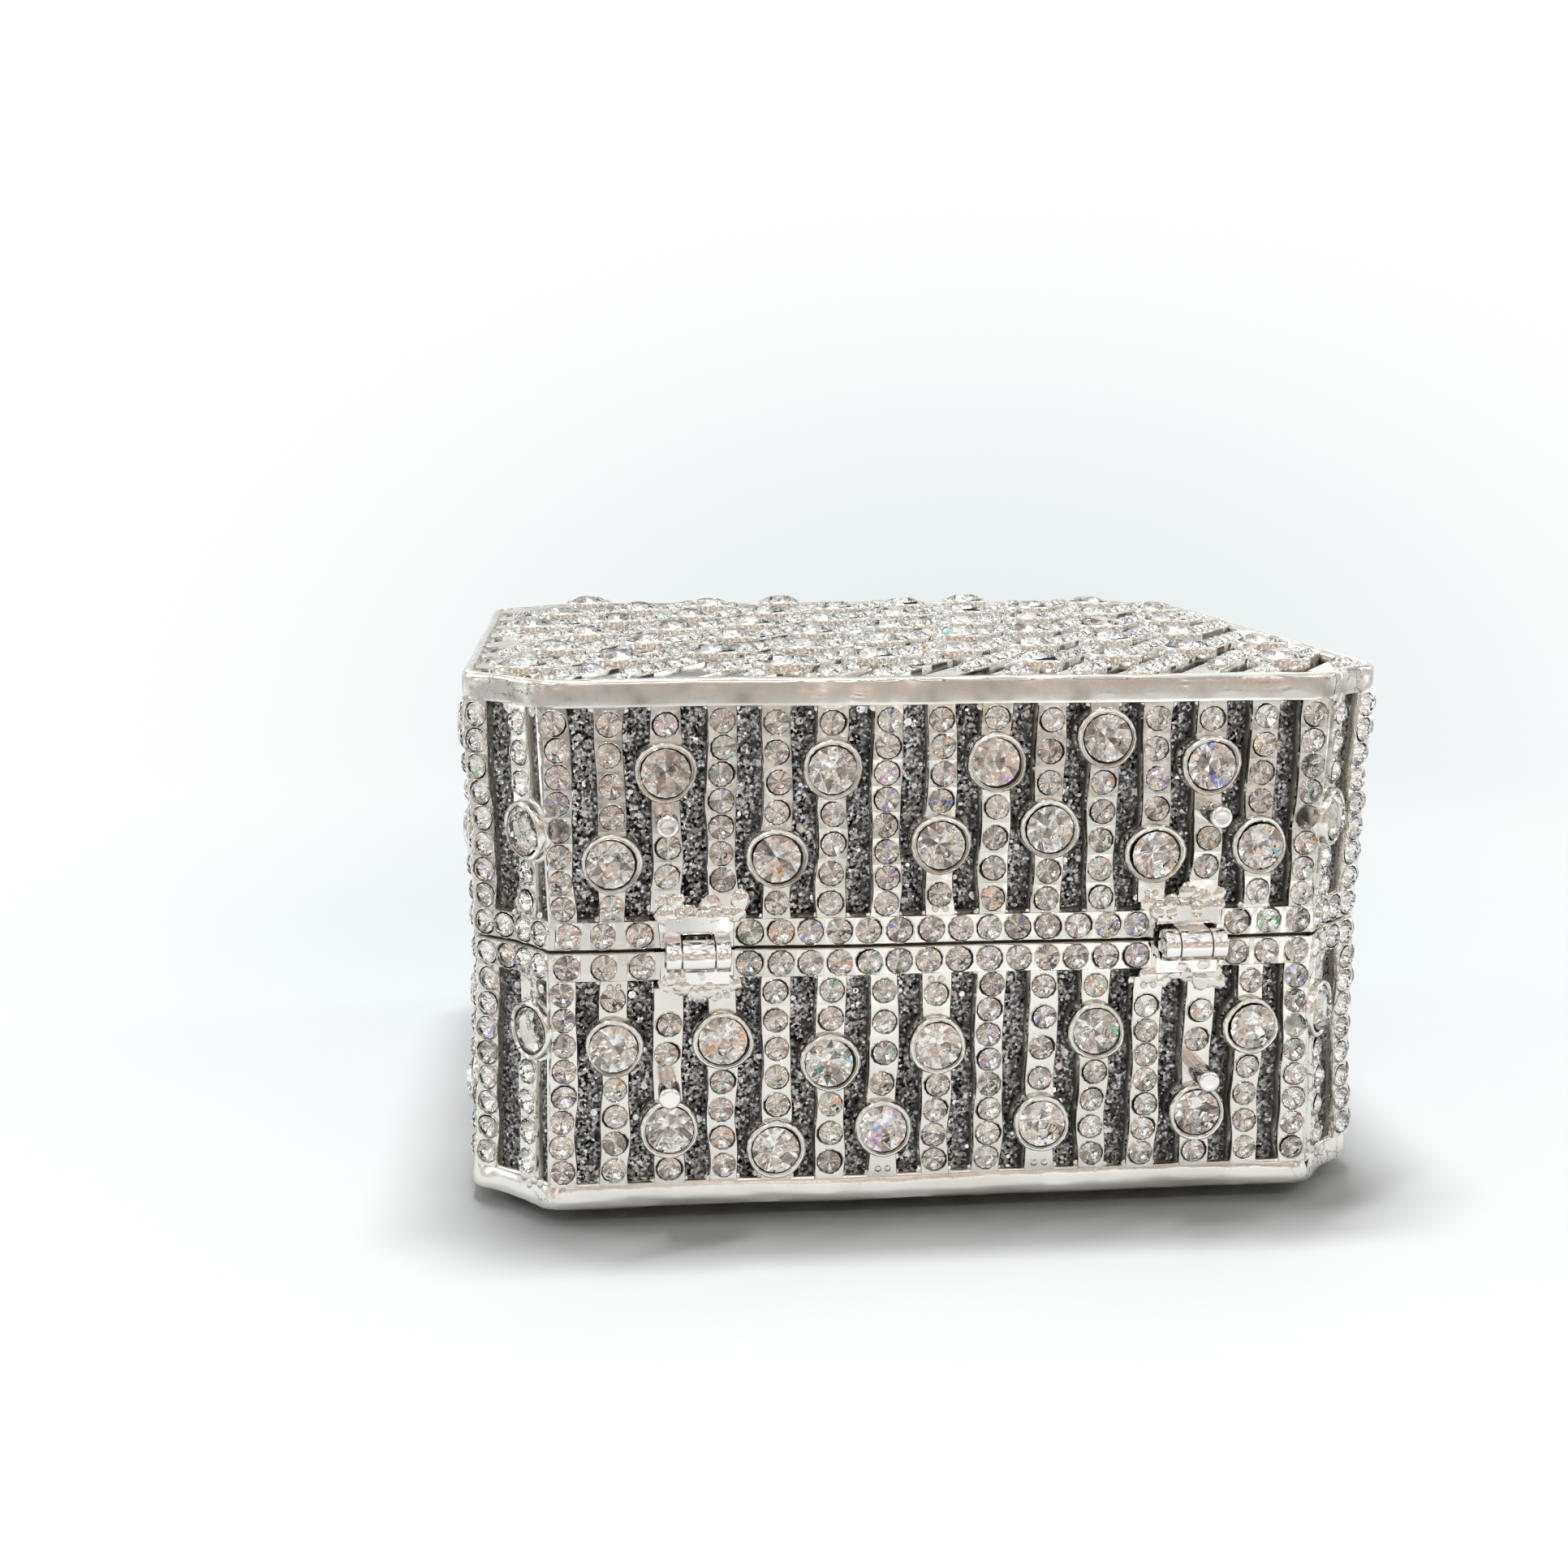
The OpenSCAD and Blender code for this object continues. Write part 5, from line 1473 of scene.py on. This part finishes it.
def beam(name, section, length, soft):
    """A bar along z with this closed section, its two end faces drawn in a little."""
    section = np.array(section, float)
    middle = section.mean(axis=0)
    inner = middle + (section - middle) * (1 - soft / abs(section - middle).max())
    h = length / 2
    rings = [np.column_stack([ring, np.full(len(ring), height)]) for ring, height in (
        (inner, -h), (section, soft - h), (section, h - soft), (inner, h))]
    return shape_of(extruded(name, rings))


BACK, TOP, FOOT = HINGE_REACH - LEAF_T, BARREL_R + LEAF_H, BARREL_R - LEAF_T
ARM = ((0.0, BARREL_R), (1.3, BARREL_R), (1.75, BARREL_R + 0.05), (1.98, BARREL_R + 0.35),
       (2.3, BARREL_R + 0.35), (HINGE_REACH, BARREL_R), (HINGE_REACH, FOOT + 0.15),
       (HINGE_REACH - 0.3, FOOT), (0.0, FOOT))
PLATE = ((BACK, BARREL_R + 0.15), (BACK + 0.05, TOP - 0.25), (BACK + 0.3, TOP), (HINGE_REACH, TOP),
         (HINGE_REACH, BARREL_R - 0.1), (BACK + 0.25, BARREL_R - 0.1))
MIDDLE, SIDE = knuckle(2 * MIDDLE_KNUCKLE), knuckle(SIDE_KNUCKLE)
ARM_MIDDLE = beam("arm", ARM, 2 * MIDDLE_KNUCKLE, 0.06)
ARM_SIDE = beam("side_arm", ARM, SIDE_KNUCKLE, 0.06)
PLATE_SHAPE = beam("plate", PLATE, 2 * HINGE_HALF, 0.1)
PIN = shape_of(turned("pin", mirrored_profile(
    [(0.2, -HINGE_HALF - 0.16), (0.5, -HINGE_HALF - 0.1), (PIN_R, 0.08 - HINGE_HALF)]), PIN_SIDES))
ALONG_X = axes((0, 1, 0), (0, 0, 1), (1, 0, 0), (0, 0, 0))


def leaf_piece(side, shell):
    pile = Pile()
    up = 1 if shell == "lid" else -1
    middle = Matrix.Translation((HINGES[side], HINGE_Y, HINGE_Z)) @ Matrix.Diagonal((1, 1, up, 1)) @ ALONG_X
    if (side == "left") == (shell == "base"):
        knuckles = [(0.0, MIDDLE, ARM_MIDDLE)]
    else:
        knuckles = [(s * (HINGE_HALF - SIDE_KNUCKLE / 2), SIDE, ARM_SIDE) for s in (-1, 1)]
    for x, tube, arm in knuckles:
        m = Matrix.Translation((x, 0, 0)) @ middle
        pile.add(tube, m, bent=False)
        pile.add(arm, m, bent=False)
    pile.add(PLATE_SHAPE, middle, bent=False)
    node = f"{side}_hinge_{shell}_leaf"
    pile.make(f"{node}_polished", shell, [node], "polished_fittings", [POLISHED])


for side in HINGES:
    for shell in SHELLS:
        leaf_piece(side, shell)
    pile = Pile()
    pile.add(PIN, Matrix.Translation((HINGES[side], HINGE_Y, HINGE_Z)) @ ALONG_X, bent=False)
    pile.make(f"{side}_hinge_pin_domed", "base", [f"{side}_hinge_pin"], "steel", [POLISHED])

# %% Pegs
PEG_R, PEG_L, PEG_SIDES = 1.2, 4.9, 32
PEG = shape_of(turned("peg", (
    (PEG_R - 0.05, -0.6), (PEG_R, 0.1), (PEG_R, PEG_L - 0.42), (PEG_R - 0.06, PEG_L - 0.2),
    (PEG_R - 0.2, PEG_L - 0.06), (PEG_R - 0.42, PEG_L), (PEG_R - 0.62, PEG_L - 0.04)), PEG_SIDES))
for shell in SHELLS:
    low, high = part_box(f"{shell}_standing_pegs")
    pile = Pile()
    for x in (low.x / MM + PEG_R, high.x / MM - PEG_R):
        foot = Matrix.Translation((x, -half_d + mid_shift, (low.z + high.z) / 2 / MM))
        pile.add(PEG, foot @ axes((1, 0, 0), (0, 0, 1), (0, -1, 0), (0, 0, 0)), bent=False)
    pile.make(f"{shell}_pegs_worn", shell, [f"{shell}_standing_pegs"], "polished_fittings", [POLISHED])

# %% [markdown]
# ## Clasp and trays
# The clasp's housing, pawl and catch keep the CAD's shape, with softened edges and a plated finish. The
# button is turned again with a seat deep enough for a cut stone. The trays carry a short charcoal flock.

# %% Clasp and trays
HAIR_SCALE, HAIR_RELIEF = 5200.0, 0.0002
FLOCK_SHADES = ((0.35, (0.040, 0.040, 0.044)), (0.65, (0.085, 0.084, 0.088)))


def flock():
    material, tree, shader, _ = new_material("charcoal_flock")
    place = object_place(tree)
    hairs = add_node(tree, "Bump", {
        "Strength": 0.7, "Distance": HAIR_RELIEF, "Height": noise(tree, place, HAIR_SCALE, 3.0)["Fac"]})
    feed(tree, shader, {"Base Color": ramp(tree, noise(tree, place, BROAD_SCALE, 3.0)["Fac"], FLOCK_SHADES),
                        "Roughness": 0.92, "Sheen Weight": 0.6, "Sheen Roughness": 0.4,
                        "Normal": hairs.outputs["Normal"]})
    return material


FLOCK = flock()
for shell in SHELLS:
    dress(f"{shell}_inner_tray", FLOCK, 0.25)
for node in ("clasp_housing", "clasp_pawl", "clasp_catch"):
    dress(node, POLISHED, 0.12)
print("dressed in place:", [node for node in NODES if NODES[node].modifiers])

# %% [markdown]
# The spring gives way as the button goes in. It's shown by a plain copy of the CAD coil, whose loose
# triangles are merged first.

# %% Spring
BUTTON_TRAVEL, MERGE = 1.2, 0.000005
coil = new_object("clasp_spring_coil", NODES["clasp_spring"].data.copy())
enter(coil)
bpy.ops.mesh.select_all(action="SELECT")
bpy.ops.mesh.remove_doubles(threshold=MERGE)
leave()
coil.data.materials.clear()
coil.data.materials.append(POLISHED)
finish_piece(coil, "base", ["clasp_spring"])
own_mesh(coil)

# %% Button and its stone
button_low, button_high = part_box("clasp_button")
stone_low, stone_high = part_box("clasp_button_stone")
STEM_END = (button_low.y - button_high.y) / MM
HEAD_R, HEAD_L, STEM_R, BUTTON_SIDES = 3.0, 5.3, 1.0, 32
BUTTON = shape_of(turned("button", (
    (STEM_R - 0.1, STEM_END), (STEM_R, STEM_END + 0.1), (STEM_R, -HEAD_L), (HEAD_R - 0.1, -HEAD_L),
    (HEAD_R, 0.1 - HEAD_L), (HEAD_R, -0.25), (2.93, -0.08), (2.75, 0.0), (2.25, 0.0), (2.1, -0.08),
    (2.05, -0.6), (0.4, -2.1)), BUTTON_SIDES))
BUTTON_FACE, BUTTON_Z = button_high.y / MM, (button_low.z + button_high.z) / 2 / MM
ALONG_Y = axes((1, 0, 0), (0, 0, -1), (0, 1, 0), (0, BUTTON_FACE, BUTTON_Z))
pile = Pile()
pile.add(BUTTON, ALONG_Y, bent=False)
pile.make("clasp_button_turned", "button", ["clasp_button"], "polished_fittings", [POLISHED])
stone_size = (stone_high.x - stone_low.x) / MM / (2 * LARGE_R)
pile = Pile()
pile.add(LARGE_STONE, ALONG_Y @ Matrix.Translation((0, 0, (stone_low.y - button_high.y) / MM)),
         LARGE_STONE["co"] * stone_size, bent=False, marks=painted_facet_light(len(LARGE_STONE["totals"])))
pile.make("clasp_button_cut_stone", "button", ["clasp_button_stone"], "crystal", [GLASS, FOIL], False)
